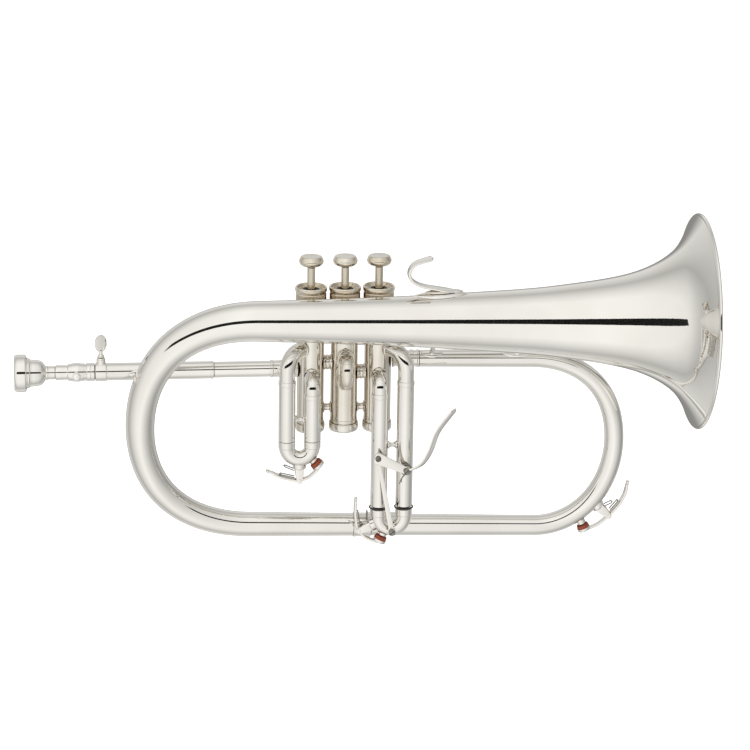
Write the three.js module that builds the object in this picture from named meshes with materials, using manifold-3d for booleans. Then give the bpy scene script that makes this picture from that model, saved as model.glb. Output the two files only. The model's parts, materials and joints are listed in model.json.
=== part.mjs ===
// A B-flat flugelhorn with three piston valves, a third-slide trigger and three water keys.
// Millimetres. +Z runs up the valves, +X along the leadpipe towards the bell, +Y to the player's left.
// The origin is the centre of the flat underside of the middle valve's bottom cap.
import * as THREE from "three";
import { mergeVertices } from "three/addons/utils/BufferGeometryUtils.js";
import Module from "manifold-3d";

const wasm = await Module();
wasm.setup();

// ---------------------------------------------------------------- driving dimensions
const GAP = 0.3; // clearance between neighbouring pieces
const WALL = 0.6; // tube wall

// Valves
const PITCH = 23.9;
const CASING_R = 9.45;
const CASING_BORE_R = 8.8;
const CASING_Z = [3.1, 99.5];
const CAP_TOP_Z = 106.3;
const STROKE = 15.3;
const PISTON_R = 8.45;
const PISTON_Z = [36, 97.5];
const STEM_R = 2.75;
const BUTTON_Z = [120.3, 128.1];

// Bell loop: drawn in its own upright plane, then tipped nose-down about the Y axis
const LOOP_TILT = THREE.MathUtils.degToRad(1);
const BOTTOM_SLOPE = THREE.MathUtils.degToRad(0.71); // the bottom tube drops this much more towards the bell
const RIM_R = 76;
const RIM_X = 244.5;
const FLARE_THROAT = 20; // the horn radius is RIM_R * (THROAT / (THROAT + distance from rim)) ^ POWER
const FLARE_POWER = 0.62;
// How much wider than the law the horn runs, by distance from the rim.
const FULLNESS = [
  [0, 1], [15, 0.955], [35, 0.957], [100, 1.02], [170, 1.065], [310, 1.07], [430, 0.94], [640, 0.955],
];
const BELL_Z = 88.2;
const BELL_Y = -27;
const BOTTOM_Z = -71.87; // height of the bottom tube's axis under the origin
const EXIT_Z = 53;
const LEFT_BOW_X = -65.35;
const RIGHT_BOW_X = 132.8;
const LOWER_BOW_X = 141; // the right bow's lower quarter is centred further out, so it turns tighter
const BOW_SWELL = 0.033; // the bows are a little fuller than a circle between their quarter points
const LOWER_BOW_SWELL = 0.006;
const TAIL_X = 8.8; // where the bell's tail meets its ferrule
const EXIT_TUBE_END_X = 52;
const MAIN_BOW_R = [6, 7.9]; // radius at the valve end and at the bell end

// Leadpipe
const LEAD_Z = 46.35;
const SLEEVE_X = [-175.3, -92.3];
const LEAD_R = 5.6;
const SLEEVE_R = 6.1;

// Valve slides
const LEG_SPACING = 18;
const LEG_Y = -19;
const LEG_R = 5.9;
const BOW_R = 5.6;
const INNER_R = 4.95;
const UPPER_PORT_Z = 62;
const LOWER_PORT_Z = 43;
const LEG_END_Z = { 1: -1, 3: -51.2 }; // lower ends of the fixed legs of slides 1 and 3
const BOW_Z = { 1: -5.5, 3: -59.5 }; // centres of their bows
const SECOND_PORTS_Z = [56.6, 38.8];

// Third-slide trigger
const TRIGGER_Y = -30;
const TRIGGER_PIVOT = [42.1, -21.8];
const LINK_TOP = [21.8, -12];
const LINK_BOTTOM = [32.6, -68.1];

// ---------------------------------------------------------------- materials
const finish = (color, roughness, metalness) =>
  new THREE.MeshStandardMaterial({ color, roughness, metalness });
const SILVER = finish(0xe9e6df, 0.1, 1);
const MONEL = finish(0xb9b5ac, 0.25, 1);
const STEEL = finish(0x8e8b84, 0.3, 1);
const CORK = finish(0x8a3a22, 0.8, 0);
const FELT = finish(0x2e2e30, 0.95, 0);
const RUBBER = finish(0x141414, 0.6, 0);

// ---------------------------------------------------------------- solids and booleans
const V = (x, y, z) => new THREE.Vector3(x, y, z);

function toSolid(geometry) {
  const bare = geometry.clone();
  bare.deleteAttribute("normal");
  bare.deleteAttribute("uv");
  const merged = mergeVertices(bare, 1e-4);
  return new wasm.Manifold(
    new wasm.Mesh({
      numProp: 3,
      vertProperties: new Float32Array(merged.attributes.position.array),
      triVerts: new Uint32Array(merged.index.array),
    }),
  );
}

function toGeometry(solid) {
  const mesh = solid.getMesh();
  const geometry = new THREE.BufferGeometry();
  geometry.setAttribute("position", new THREE.BufferAttribute(new Float32Array(mesh.vertProperties), 3));
  geometry.setIndex(new THREE.BufferAttribute(new Uint32Array(mesh.triVerts), 1));
  return geometry;
}

const join = (...list) => toGeometry(list.map(toSolid).reduce((a, b) => a.add(b)));
const common = (a, b) => toGeometry(toSolid(a).intersect(toSolid(b)));
const cut = (body, ...tools) => toGeometry(tools.map(toSolid).reduce((a, b) => a.subtract(b), toSolid(body)));

// ---------------------------------------------------------------- shape makers
// A closed or axis-to-axis outline of [radius, height] pairs, turned about +Z.
function turnedZ(outline, sides = 16) {
  const points = outline.map(([r, z]) => new THREE.Vector2(r, z));
  const ordered = THREE.ShapeUtils.area(points) > 0 ? points : points.reverse();
  return new THREE.LatheGeometry(ordered, sides).rotateX(Math.PI / 2);
}

// The same about +X, from [x, radius] pairs.
const turnedX = (outline, sides = 12) =>
  turnedZ(outline.map(([x, r]) => [r, x]), sides).rotateY(Math.PI / 2);

// A round bar between two points.
function bar(from, to, radius, sides = 12) {
  const along = to.clone().sub(from);
  const geometry = new THREE.CylinderGeometry(radius, radius, along.length(), sides);
  const turn = new THREE.Quaternion().setFromUnitVectors(V(0, 1, 0), along.clone().normalize());
  return geometry.applyQuaternion(turn).translate(...from.clone().add(to).multiplyScalar(0.5).toArray());
}

// An arc: start and side are the vectors from the centre at 0 and at 90 degrees.
// swell pushes it outwards between its quarter points, and not at them.
class Bend extends THREE.Curve {
  constructor(centre, start, side, from, to, swell = 0) {
    super();
    Object.assign(this, { centre, start, side, from, to, swell });
  }
  getPoint(t, target = V(0, 0, 0)) {
    const a = THREE.MathUtils.lerp(this.from, this.to, t);
    const quarters = Math.round((this.to - this.from) / (Math.PI / 2));
    const bulge = 1 + this.swell * Math.sin(quarters * Math.PI * t) ** 2;
    target.copy(this.centre).addScaledVector(this.start, bulge * Math.cos(a));
    return target.addScaledVector(this.side, bulge * Math.sin(a));
  }
}

const line = (a, b) => new THREE.LineCurve3(a, b);

// Steps along a chain of curves: [curve, steps] pairs become stations with a point, a tangent and a distance.
function stations(...pieces) {
  const list = [];
  let before = 0;
  pieces.forEach(([curve, steps], piece) => {
    const spacing = Array.isArray(steps) ? steps : Array.from({ length: steps + 1 }, (_, i) => i / steps);
    spacing.forEach((u, i) => {
      if (piece > 0 && i === 0) return;
      list.push({ at: curve.getPointAt(u), along: curve.getTangentAt(u), s: before + u * curve.getLength() });
    });
    before += curve.getLength();
  });
  return list;
}

// A tube through the stations. radius and wall may vary along it; a wall of null leaves it solid.
// across is a direction that the route never runs along; it fixes how the sides are turned.
function pipe(route, radius, wall, across, sides = 12, tip = []) {
  const radiusAt = typeof radius === "function" ? radius : () => radius;
  const wallAt = typeof wall === "function" ? wall : () => wall;
  const outer = route.map(({ s }, i) => [radiusAt(s), i]);
  const last = route.length - 1;
  const bore = () => route.map(({ s }, i) => [radiusAt(s) - wallAt(s), i]).reverse();
  const inner = wall === null ? [[0, last], [0, 0]] : bore();
  const outline = [...outer, ...tip.map(([r, d]) => [r, last + d]), ...inner];
  if (wall !== null) outline.push(outer[0]);
  else outline.unshift([0, 0]);
  const clean = wall === null ? outline.slice(0, -1) : outline;
  const points = clean.map(([r, h]) => new THREE.Vector2(r, h));
  const ordered = THREE.ShapeUtils.area(points) > 0 ? points : points.reverse();
  const geometry = new THREE.LatheGeometry(ordered, sides);
  const position = geometry.attributes.position;
  for (let i = 0; i < position.count; i++) {
    const height = position.getY(i);
    const station = route[Math.min(last, Math.round(Math.min(height, last)))];
    const beyond = height > last ? height - last : 0;
    const b = across.clone().addScaledVector(station.along, -across.dot(station.along)).normalize();
    const n = station.along.clone().cross(b);
    const p = station.at.clone().addScaledVector(n, position.getX(i)).addScaledVector(b, position.getZ(i));
    p.addScaledVector(station.along, beyond);
    position.setXYZ(i, p.x, p.y, p.z);
  }
  return geometry;
}

// A strap that follows a smooth line of [x, z] points, with its width along Y.
function strap(points, thickness, width, y, steps = 12) {
  const curve = new THREE.SplineCurve(points.map(([x, z]) => new THREE.Vector2(x, z)));
  const left = [];
  const right = [];
  for (let i = 0; i <= steps; i++) {
    const p = curve.getPointAt(i / steps);
    const t = curve.getTangentAt(i / steps);
    const side = new THREE.Vector2(-t.y, t.x).multiplyScalar(thickness / 2);
    left.push(p.clone().add(side));
    right.unshift(p.clone().sub(side));
  }
  return plate(new THREE.Shape([...left, ...right]), width, y);
}

// A flat shape in the XZ plane with its thickness along Y, centred on y.
const plate = (shape, thickness, y, curveSegments = 6) =>
  new THREE.ExtrudeGeometry(shape, { depth: thickness, bevelEnabled: false, curveSegments })
    .rotateX(Math.PI / 2)
    .translate(0, y + thickness / 2, 0);

// A low oval foot, as soldered under a brace post.
const foot = (centre, length, width, height) =>
  new THREE.SphereGeometry(1, 10, 6).scale(length / 2, width / 2, height).translate(...centre.toArray());

const wireSection = (radius, sides) =>
  new THREE.Shape(new THREE.EllipseCurve(0, 0, radius, radius).getPoints(sides).slice(0, sides));

// A wire wound on a cylinder about an axis direction.
function coil(centre, axis, radius, length, turns, wire, sides = 5) {
  class Helix extends THREE.Curve {
    getPoint(t, target = V(0, 0, 0)) {
      const a = 2 * Math.PI * turns * t;
      return target.set(radius * Math.cos(a), radius * Math.sin(a), length * (t - 0.5));
    }
  }
  const steps = Math.round(turns * 8);
  const sweep = { steps, bevelEnabled: false, extrudePath: new Helix() };
  const geometry = new THREE.ExtrudeGeometry(wireSection(wire, sides), sweep);
  const turn = new THREE.Quaternion().setFromUnitVectors(V(0, 0, 1), axis);
  return geometry.applyQuaternion(turn).translate(...centre.toArray());
}

const flugelhorn = new THREE.Group();

function add(name, geometry, material = SILVER) {
  const mesh = new THREE.Mesh(geometry, material);
  mesh.name = name;
  flugelhorn.add(mesh);
  return mesh;
}

// ---------------------------------------------------------------- the bell loop, in its own plane
const tipped = (geometry) => geometry.rotateY(LOOP_TILT);
const loopPoint = (x, y, z) => V(x, y, z).applyAxisAngle(V(0, 1, 0), LOOP_TILT);
const Y_AXIS = V(0, 1, 0);

// Height of the bottom tube's axis at x, and the radius of a bow that joins it to a tube at height z above x.
const bottomZ = (x) => BOTTOM_Z - x * Math.tan(BOTTOM_SLOPE);
const bowRadius = (x, z) => ((z - bottomZ(x)) * Math.cos(BOTTOM_SLOPE)) / (1 + Math.cos(BOTTOM_SLOPE));
const leftBowR = bowRadius(LEFT_BOW_X, BELL_Z);
const rightBowR = bowRadius(LOWER_BOW_X, EXIT_Z);
const leftBow = new Bend(
  V(LEFT_BOW_X, BELL_Y / 2, BELL_Z - leftBowR),
  V(0, -BELL_Y / 2, -leftBowR),
  V(-leftBowR, 0, 0),
  BOTTOM_SLOPE,
  Math.PI,
  BOW_SWELL,
);
const upperRightBow = new Bend(
  V(RIGHT_BOW_X, 0, EXIT_Z - rightBowR),
  V(0, 0, rightBowR),
  V(rightBowR, 0, 0),
  0,
  Math.PI / 2,
  BOW_SWELL,
);
const lowerReach = RIGHT_BOW_X + rightBowR - LOWER_BOW_X;
const lowerRightBow = new Bend(
  V(LOWER_BOW_X, 0, EXIT_Z - rightBowR),
  V(0, 0, rightBowR),
  V(lowerReach, 0, 0),
  Math.PI / 2,
  Math.PI + Math.atan((lowerReach / rightBowR) * Math.tan(BOTTOM_SLOPE)),
  LOWER_BOW_SWELL,
);
const onBottom = (x) => V(x, 0, bottomZ(x));
const bellAxis = line(V(LEFT_BOW_X, BELL_Y, BELL_Z), V(RIM_X, BELL_Y, BELL_Z));

// Stations crowd towards the rim, where the flare is steep.
const FLARE_STEPS = 13;
const crowding = Math.log(1 + bellAxis.getLength() / FLARE_THROAT);
const flareSpacing = Array.from(
  { length: FLARE_STEPS + 1 },
  (_, i) => 1 - (FLARE_THROAT * (Math.exp(crowding * (1 - i / FLARE_STEPS)) - 1)) / bellAxis.getLength(),
);
const bellRoute = stations(
  [line(onBottom(TAIL_X), leftBow.getPoint(0)), 1],
  [leftBow, 16],
  [bellAxis, flareSpacing],
);
const bellLength = bellRoute.at(-1).s;
const BEAD = 1.2; // half width of the rolled rim
const fullness = (distance) => {
  const k = Math.max(1, FULLNESS.findIndex(([d]) => d >= distance));
  const [[d0, f0], [d1, f1]] = [FULLNESS[k - 1], FULLNESS[k]];
  return THREE.MathUtils.lerp(f0, f1, THREE.MathUtils.smoothstep(distance, d0, d1));
};
const flareLaw = (distance) => Math.pow(FLARE_THROAT / (FLARE_THROAT + distance), FLARE_POWER);
const hornRadius = (s) => (RIM_R - BEAD) * flareLaw(bellLength - s) * fullness(bellLength - s);
const hornSlope = (s) => (FLARE_POWER * hornRadius(s)) / (FLARE_THROAT + bellLength - s);
const hornWall = (s) => WALL * Math.hypot(1, hornSlope(s));

function bell() {
  // The rim is rolled round a wire, so the outline ends in a bead with a narrow flat front.
  const edge = RIM_R - BEAD;
  const bead = [[RIM_R, 0.6], [RIM_R, 1.6], [RIM_R - 0.6, 2.2], [edge - 0.8, 2.2], [edge - 1.4, 1.4]];
  return tipped(pipe(bellRoute, hornRadius, hornWall, Y_AXIS, 16, bead));
}

// The same outside surface grown by the clearance, for trimming what is soldered to the bell.
const bellKeepOut = () => tipped(pipe(bellRoute, (s) => hornRadius(s) + GAP + 0.05, null, Y_AXIS, 16));

const FERRULE_LENGTH = 13;
const mainBowRoute = stations(
  [line(V(EXIT_TUBE_END_X + GAP, 0, EXIT_Z), V(RIGHT_BOW_X, 0, EXIT_Z)), 1],
  [upperRightBow, 7],
  [lowerRightBow, 7],
  [line(lowerRightBow.getPoint(1), onBottom(TAIL_X + FERRULE_LENGTH + GAP)), 1],
);
const mainBowLength = mainBowRoute.at(-1).s;
const mainBowRadius = (s) => THREE.MathUtils.lerp(...MAIN_BOW_R, s / mainBowLength);
const mainBowKeepOut = () => tipped(pipe(mainBowRoute, (s) => mainBowRadius(s) + GAP + 0.05, null, Y_AXIS));

const tailFerrule = () => {
  const [start, end] = [TAIL_X + GAP, TAIL_X + FERRULE_LENGTH];
  const sleeve = turnedX([[start, 7.95], [start, 8.75], [end, 8.65], [end, 7.95], [start, 7.95]]);
  return tipped(sleeve.rotateY(BOTTOM_SLOPE).translate(0, 0, BOTTOM_Z));
};

// ---------------------------------------------------------------- valves
const valveX = (i) => (i - 2) * PITCH;
const upright = (radius, height, x) =>
  new THREE.CylinderGeometry(radius, radius, height, 16).rotateX(Math.PI / 2).translate(x, 0, 51);
const casingKeepOut = (i) => upright(CASING_R + GAP, 96, valveX(i));

// Holes through one wall of a casing, each [height, direction, radius].
function valveCasing(i, ports) {
  const [low, high] = CASING_Z;
  const tube = turnedZ([
    [CASING_BORE_R, low], [CASING_R, low], [CASING_R, high], [CASING_BORE_R, high], [CASING_BORE_R, low],
  ]);
  const holes = ports.map(([z, direction, radius]) =>
    bar(V(0, 0, z), direction.clone().multiplyScalar(12).setZ(z), radius, 10));
  return cut(tube, ...holes).translate(valveX(i), 0, 0);
}

// Thin spool that ties two casings together near their feet.
const SPOOL_Z = 17.3;
const spool = (x) =>
  turnedX([
    [-PITCH / 2, 0], [-PITCH / 2, 4], [-1.4, 4], [-0.7, 2.6], [0.7, 2.6], [1.4, 4],
    [PITCH / 2, 4], [PITCH / 2, 0],
  ], 10).translate(x, 0, SPOOL_Z);

const topCap = () =>
  turnedZ([
    [9.75, 95], [10.65, 95], [10.65, 102.6], [11.2, 103.5], [11.2, 105.5], [10.6, CAP_TOP_Z], [9.8, CAP_TOP_Z],
    [6.5, 102.5], [3.4, 102.1], [3.4, 99.8], [9.75, 99.8], [9.75, 95],
  ]);

const bottomCap = () =>
  turnedZ([
    [0, 0], [8.6, 0], [9.7, 0.5], [10.3, 1.8], [10.4, 3.4], [10.4, 5.4], [10.1, 6.4],
    [9.75, 6.4], [9.75, 2.8], [0, 2.8],
  ]);

const feltWasher = () =>
  turnedZ([[3.25, 102.8], [5.9, 102.8], [5.9, 104.6], [3.25, 104.6], [3.25, 102.8]], 12);

// A piston is a thin shell, open below, crossed by two port tubes, with the hollow stem on top.
function piston() {
  const [low, high] = PISTON_Z;
  const stemTop = BUTTON_Z[0] - GAP;
  const shell = turnedZ([
    [0, high - 2], [7.6, high - 2], [7.6, low], [PISTON_R, low], [PISTON_R, high], [STEM_R, high],
    [STEM_R, stemTop], [1.6, stemTop], [1.6, 123], [0, 123],
  ], 12);
  const across = (z, angle, radius) => {
    const reach = V(Math.cos(angle), Math.sin(angle), 0).multiplyScalar(2 * PISTON_R);
    return bar(reach.clone().negate().setZ(z), reach.setZ(z), radius, 8);
  };
  const ports = [[LEAD_Z, 0], [UPPER_PORT_Z, Math.PI / 4]];
  const insideR = PISTON_R - 0.2;
  const within = turnedZ([[0, low + 1], [insideR, low + 1], [insideR, high - 1], [0, high - 1]], 12);
  const tubes = common(join(...ports.map(([z, angle]) => across(z, angle, 5.2))), within);
  return cut(join(shell, tubes), ...ports.map(([z, angle]) => across(z, angle, 4.5)));
}

const fingerButton = () => {
  const [low, high] = BUTTON_Z;
  return turnedZ([
    [0, 123.4], [1.9, 123.4], [1.9, low], [3.6, low], [4.4, 121.3], [7.2, 122.4], [8.6, 124.2], [8.6, 125.6],
    [7.6, 127.4], [6.7, high], [0, high],
  ]);
};

const SPRING_Z = [3.4, 35.7];
const valveSpring = () => {
  const [low, high] = SPRING_Z;
  return coil(V(0, 0, (low + high) / 2), V(0, 0, 1), 7.4, high - low - 1.6, 5, 0.6, 4);
};

// ---------------------------------------------------------------- valve slides
const Z_AXIS = V(0, 0, 1);
const X_AXIS = V(1, 0, 0);
const ELBOW_R = 9.5;
const CROOK_R = 13;

// The two fixed legs of slide 1 (side -1) or slide 3 (side 1), with the elbow and the crook into the casing.
function slideTubes(i, side, legEnd, braceZ) {
  const near = valveX(i);
  const far = near + side * LEG_SPACING;
  const casing = V(near, 0, 0);
  const elbowCentre = V(near, LEG_Y + ELBOW_R, LOWER_PORT_Z - ELBOW_R);
  const elbow = stations(
    [line(V(near, 0, LOWER_PORT_Z), V(near, LEG_Y + ELBOW_R, LOWER_PORT_Z)), 1],
    [new Bend(elbowCentre, V(0, 0, ELBOW_R), V(0, -ELBOW_R, 0), 0, Math.PI / 2), 4],
    [line(V(near, LEG_Y, LOWER_PORT_Z - ELBOW_R), V(near, LEG_Y, legEnd)), 1],
  );
  const inward = casing.clone().sub(V(far, LEG_Y, 0)).normalize();
  const crookCentre = V(far, LEG_Y, UPPER_PORT_Z - CROOK_R).addScaledVector(inward, CROOK_R);
  const crookTop = crookCentre.clone().setZ(UPPER_PORT_Z);
  const crook = stations(
    [line(V(far, LEG_Y, legEnd), V(far, LEG_Y, UPPER_PORT_Z - CROOK_R)), 1],
    [new Bend(crookCentre, inward.clone().multiplyScalar(-CROOK_R), V(0, 0, CROOK_R), 0, Math.PI / 2), 5],
    [line(crookTop, V(near, 0, UPPER_PORT_Z)), 1],
  );
  const half = LEG_SPACING / 2;
  const brace = turnedX([
    [-half, 0], [-half, 3], [-2.4, 3], [-1.6, 1.8], [1.6, 1.8], [2.4, 3], [half, 3], [half, 0],
  ], 10).translate((near + far) / 2, LEG_Y, braceZ);
  const elbowAcross = X_AXIS;
  const crookAcross = inward.clone().cross(Z_AXIS);
  const tubes = join(pipe(elbow, LEG_R, null, elbowAcross), pipe(crook, LEG_R, null, crookAcross), brace);
  const boreR = LEG_R - WALL;
  const bores = [pipe(elbow, boreR, null, elbowAcross), pipe(crook, boreR, null, crookAcross)];
  const mouths = [near, far].map((x) => bar(V(x, LEG_Y, legEnd - 2), V(x, LEG_Y, legEnd + 2), boreR));
  return cut(tubes, ...bores, ...mouths, casingKeepOut(i));
}

// The sliding part of slide 1 or 3: a bow with its inner legs, carrying the water key's saddle and nipple.
function slideBow(i, side, top, centreZ, innerTop, key) {
  const xs = [valveX(i), valveX(i) + side * LEG_SPACING];
  const middle = (xs[0] + xs[1]) / 2;
  const half = LEG_SPACING / 2;
  const route = stations(
    [line(V(middle - half, LEG_Y, top), V(middle - half, LEG_Y, centreZ)), 1],
    [new Bend(V(middle, LEG_Y, centreZ), V(-half, 0, 0), V(0, 0, -half), 0, Math.PI), 8],
    [line(V(middle + half, LEG_Y, centreZ), V(middle + half, LEG_Y, top)), 1],
  );
  const legs = xs.map((x) => bar(V(x, LEG_Y, top - 2), V(x, LEG_Y, innerTop), INNER_R));
  const bores = xs.map((x) => bar(V(x, LEG_Y, top - 3), V(x, LEG_Y, innerTop + 2), INNER_R - 0.5));
  const solid = join(pipe(route, BOW_R, null, Y_AXIS), ...legs, ...keySaddle(key));
  return cut(solid, pipe(route, INNER_R - 0.5, null, Y_AXIS), ...bores);
}

// ---------------------------------------------------------------- water keys
// A key is drawn in its own axes: across runs from its pin to the cork, and out points away from the tube.
const KEY_PIN_R = 0.8;
const KEY_WIDTH = 4.4;
const ARM_THICKNESS = 2;
const EAR = 1.1;
const CORK_R = 4.4;
const CORK_HEIGHT = 3.4;
const SPRING_WIRE = 0.4;
const SPRING_SIDE = 1.9; // half width of the spring

const inPlane = ([x, z], y) => V(x, y, z);
const step = ([x, z], [dx, dz], d) => [x + dx * d, z + dz * d];
const radial = (angle) => [Math.cos(angle), Math.sin(angle)];

// Both slide keys have the same lever. The main key is longer and its arm is straighter.
const SLIDE_KEY = {
  arm: [[-22.6, -7.2], [-18, -5], [-13.2, -2.8], [-8, -1.2], [0, 0], [5.8, -1.4], [9.2, -4]],
  cork: [12, -12.2],
  bowLeg: [[-4.4, -8], [-10.4, -10.6]],
  leverLeg: [[-12.7, -7], [-5.4, -4.6]],
};
const MAIN_KEY = {
  arm: [[-27.3, -7.4], [-21, -3.3], [-12.1, -0.6], [-6.6, 0], [0, 0], [6.9, -0.5], [11.9, -1.4]],
  cork: [18.4, -8.1],
  bowLeg: [[-4.6, -7.8], [-8.9, -6.2]],
  leverLeg: [[-12.2, -5], [-5.4, -4.4]],
};

// Places a key at its pin. side turns the across direction, seat is the direction in which the cork lifts,
// and root is where the saddle stands inside the bow's tube.
function keyOn(shape, pin, outAngle, seatAngle, side, y, root) {
  const out = radial(outAngle);
  const across = [-side * out[1], side * out[0]];
  const seat = radial(seatAngle);
  const at = ([u, n]) => step(step(pin, across, u), out, n);
  const cork = at(shape.cork);
  const corkLow = step(cork, seat, -CORK_HEIGHT / 2);
  return { ...shape, y, out, across, seat, pin, at, corkLow, root: step(pin, out, -root) };
}

// Saddle: two ears on a block, the pivot pin between them, and the drain nipple.
function keySaddle(key) {
  const { y, root, pin, out, across } = key;
  const [rootHalf, pinHalf, tipHalf] = [2.6, 2.4, 1.4];
  const top = step(pin, out, 2.2);
  const sides = [[root, rootHalf], [pin, pinHalf], [top, tipHalf]];
  const corners = [...sides, ...sides.map(([p, half]) => [p, -half]).reverse()];
  const ear = new THREE.Shape(corners.map(([p, half]) => new THREE.Vector2(...step(p, across, half))));
  const earY = KEY_WIDTH / 2 + GAP + EAR / 2;
  const ears = [-1, 1].map((k) => plate(ear, EAR, y + k * earY));
  const block = bar(inPlane(root, y), inPlane(step(pin, out, -4.6), y), 3.3, 10);
  const pivot = bar(inPlane(pin, y - earY), inPlane(pin, y + earY), KEY_PIN_R, 6);
  const nippleTop = step(key.corkLow, key.seat, -GAP);
  const nipple = bar(inPlane(step(nippleTop, key.seat, -5), y), inPlane(nippleTop, y), 3, 10);
  return [...ears, block, pivot, nipple];
}

function keyLever(key) {
  const { y, pin, corkLow, seat, at } = key;
  const cup = step(corkLow, seat, CORK_HEIGHT + GAP);
  const arm = strap([...key.arm.map(at), step(cup, seat, 0.9)], ARM_THICKNESS, KEY_WIDTH, y, 14);
  const hub = bar(inPlane(pin, y - KEY_WIDTH / 2), inPlane(pin, y + KEY_WIDTH / 2), 2.1, 10);
  const seatCup = bar(inPlane(cup, y), inPlane(step(cup, seat, 1.4), y), CORK_R + 0.2, 12);
  const pinHole = bar(inPlane(pin, y - 4), inPlane(pin, y + 4), KEY_PIN_R + GAP, 6);
  return cut(join(arm, hub, seatCup), pinHole);
}

const keyCork = ({ y, corkLow, seat }) =>
  bar(inPlane(corkLow, y), inPlane(step(corkLow, seat, CORK_HEIGHT), y), CORK_R, 12);

// Return spring: one wire hairpin with a loop against the bow and a loop behind the lever's finger arm.
function keySpring({ y, at, bowLeg, leverLeg }) {
  const place = ([u, n], dy) => inPlane(at([u, n]), y + dy);
  const [bowStart, bowEnd] = bowLeg;
  const [leverEnd, leverStart] = leverLeg;
  const turn = [bowStart[0] + 0.4, (bowStart[1] + leverStart[1]) / 2];
  const path = new THREE.CatmullRomCurve3([
    place(bowStart, SPRING_SIDE), place(bowEnd, SPRING_SIDE), place([bowEnd[0] - 1, bowEnd[1]], 0),
    place(bowEnd, -SPRING_SIDE), place(bowStart, -SPRING_SIDE), place(turn, -SPRING_SIDE),
    place(leverStart, -SPRING_SIDE), place(leverEnd, -SPRING_SIDE),
    place([leverEnd[0] - 1, leverEnd[1] - 0.3], 0),
    place(leverEnd, SPRING_SIDE), place(leverStart, SPRING_SIDE),
  ]);
  const sweep = { steps: 28, bevelEnabled: false, extrudePath: path };
  return new THREE.ExtrudeGeometry(wireSection(SPRING_WIRE, 4), sweep);
}

const degrees = THREE.MathUtils.degToRad;
const SLIDE_KEY_RISE = LEG_SPACING / 2 + BOW_R + 10.5; // from the bow's centre to the pin
const MAIN_KEY_PIN = [194, -69.6];
const MAIN_KEY_OUT = degrees(-42.9);
const bowCentre = (i, side) => [valveX(i) + (side * LEG_SPACING) / 2, BOW_Z[i]];
const slideKey = (i, side, pinAngle) => {
  const pin = step(bowCentre(i, side), radial(pinAngle), SLIDE_KEY_RISE);
  return keyOn(SLIDE_KEY, pin, pinAngle, pinAngle + degrees(43), 1, LEG_Y, BOW_R + 10.5);
};
const KEYS = {
  first: slideKey(1, -1, degrees(-90)),
  third: slideKey(3, 1, degrees(-157)),
  main: keyOn(MAIN_KEY, MAIN_KEY_PIN, MAIN_KEY_OUT, degrees(-67), -1, 0, 18.4),
};

function mainBow() {
  const tube = pipe(mainBowRoute, mainBowRadius, null, Y_AXIS);
  const bore = pipe(mainBowRoute, (s) => mainBowRadius(s) - WALL, null, Y_AXIS);
  const ends = [[mainBowRoute[0], MAIN_BOW_R[0]], [mainBowRoute.at(-1), MAIN_BOW_R[1]]];
  const mouths = ends.map(([{ at, along }, r]) =>
    bar(at.clone().addScaledVector(along, -2), at.clone().addScaledVector(along, 2), r - WALL));
  return cut(join(tipped(tube), ...keySaddle(KEYS.main)), tipped(bore), ...mouths.map(tipped));
}

// ---------------------------------------------------------------- second slide
const SECOND_R = 5;
const SECOND_STUB_END = -12.5;
const SECOND_BEND_Y = -13.2;

function secondSlideBow() {
  const [upper, lower] = SECOND_PORTS_Z;
  const middle = (upper + lower) / 2;
  const half = (upper - lower) / 2;
  const route = stations(
    [line(V(0, SECOND_STUB_END - GAP, upper), V(0, SECOND_BEND_Y, upper)), 1],
    [new Bend(V(0, SECOND_BEND_Y, middle), V(0, 0, half), V(0, -half, 0), 0, Math.PI), 8],
    [line(V(0, SECOND_BEND_Y, lower), V(0, SECOND_STUB_END - GAP, lower)), 1],
  );
  const legs = SECOND_PORTS_Z.map((z) => bar(V(0, SECOND_STUB_END - 1, z), V(0, -9.2, z), 4.6));
  const bores = SECOND_PORTS_Z.map((z) => bar(V(0, SECOND_STUB_END - 1.5, z), V(0, -6, z), 4.1));
  return cut(join(pipe(route, SECOND_R, null, X_AXIS), ...legs), pipe(route, 4.1, null, X_AXIS), ...bores);
}

// Casing 2 carries the second slide's stubs and the two spools that tie the casings together.
function middleCasing() {
  const stubs = SECOND_PORTS_Z.map((z) => bar(V(0, -8, z), V(0, SECOND_STUB_END, z), 5.6));
  const passages = SECOND_PORTS_Z.map((z) => bar(V(0, 0, z), V(0, -14, z), 4.95));
  const bore = upright(CASING_BORE_R, 100, 0);
  const body = valveCasing(2, [[BRIDGE_Z[0], V(-1, 0, 0), 4.2], [BRIDGE_Z[1], V(1, 0, 0), 4.2]]);
  const spools = [-PITCH / 2, PITCH / 2].map(spool);
  return cut(join(body, ...stubs, ...spools), ...passages, bore, casingKeepOut(1), casingKeepOut(3));
}

// ---------------------------------------------------------------- tubes between the valves
const BRIDGE_Z = [50.5, 43.3];
function valveBridge(i) {
  const x = (valveX(i) + valveX(i + 1)) / 2;
  const half = PITCH / 2 - 6;
  const tube = turnedX([
    [-half, 4.2], [-half, 5], [-1, 5], [-0.6, 4.7], [0.6, 4.7], [1, 5], [half, 5], [half, 4.2], [-half, 4.2],
  ]).translate(x, 0, BRIDGE_Z[i - 1]);
  return cut(tube, casingKeepOut(i), casingKeepOut(i + 1));
}

function exitTube() {
  const start = valveX(3) + 6;
  const tube = turnedX([
    [start, 4.9], [start, 5.5], [46.2, 5.5], [46.2, 6.3], [EXIT_TUBE_END_X, 6.3], [EXIT_TUBE_END_X, 4.9],
    [start, 4.9],
  ]).translate(0, 0, EXIT_Z);
  return cut(tipped(tube), casingKeepOut(3));
}

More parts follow.
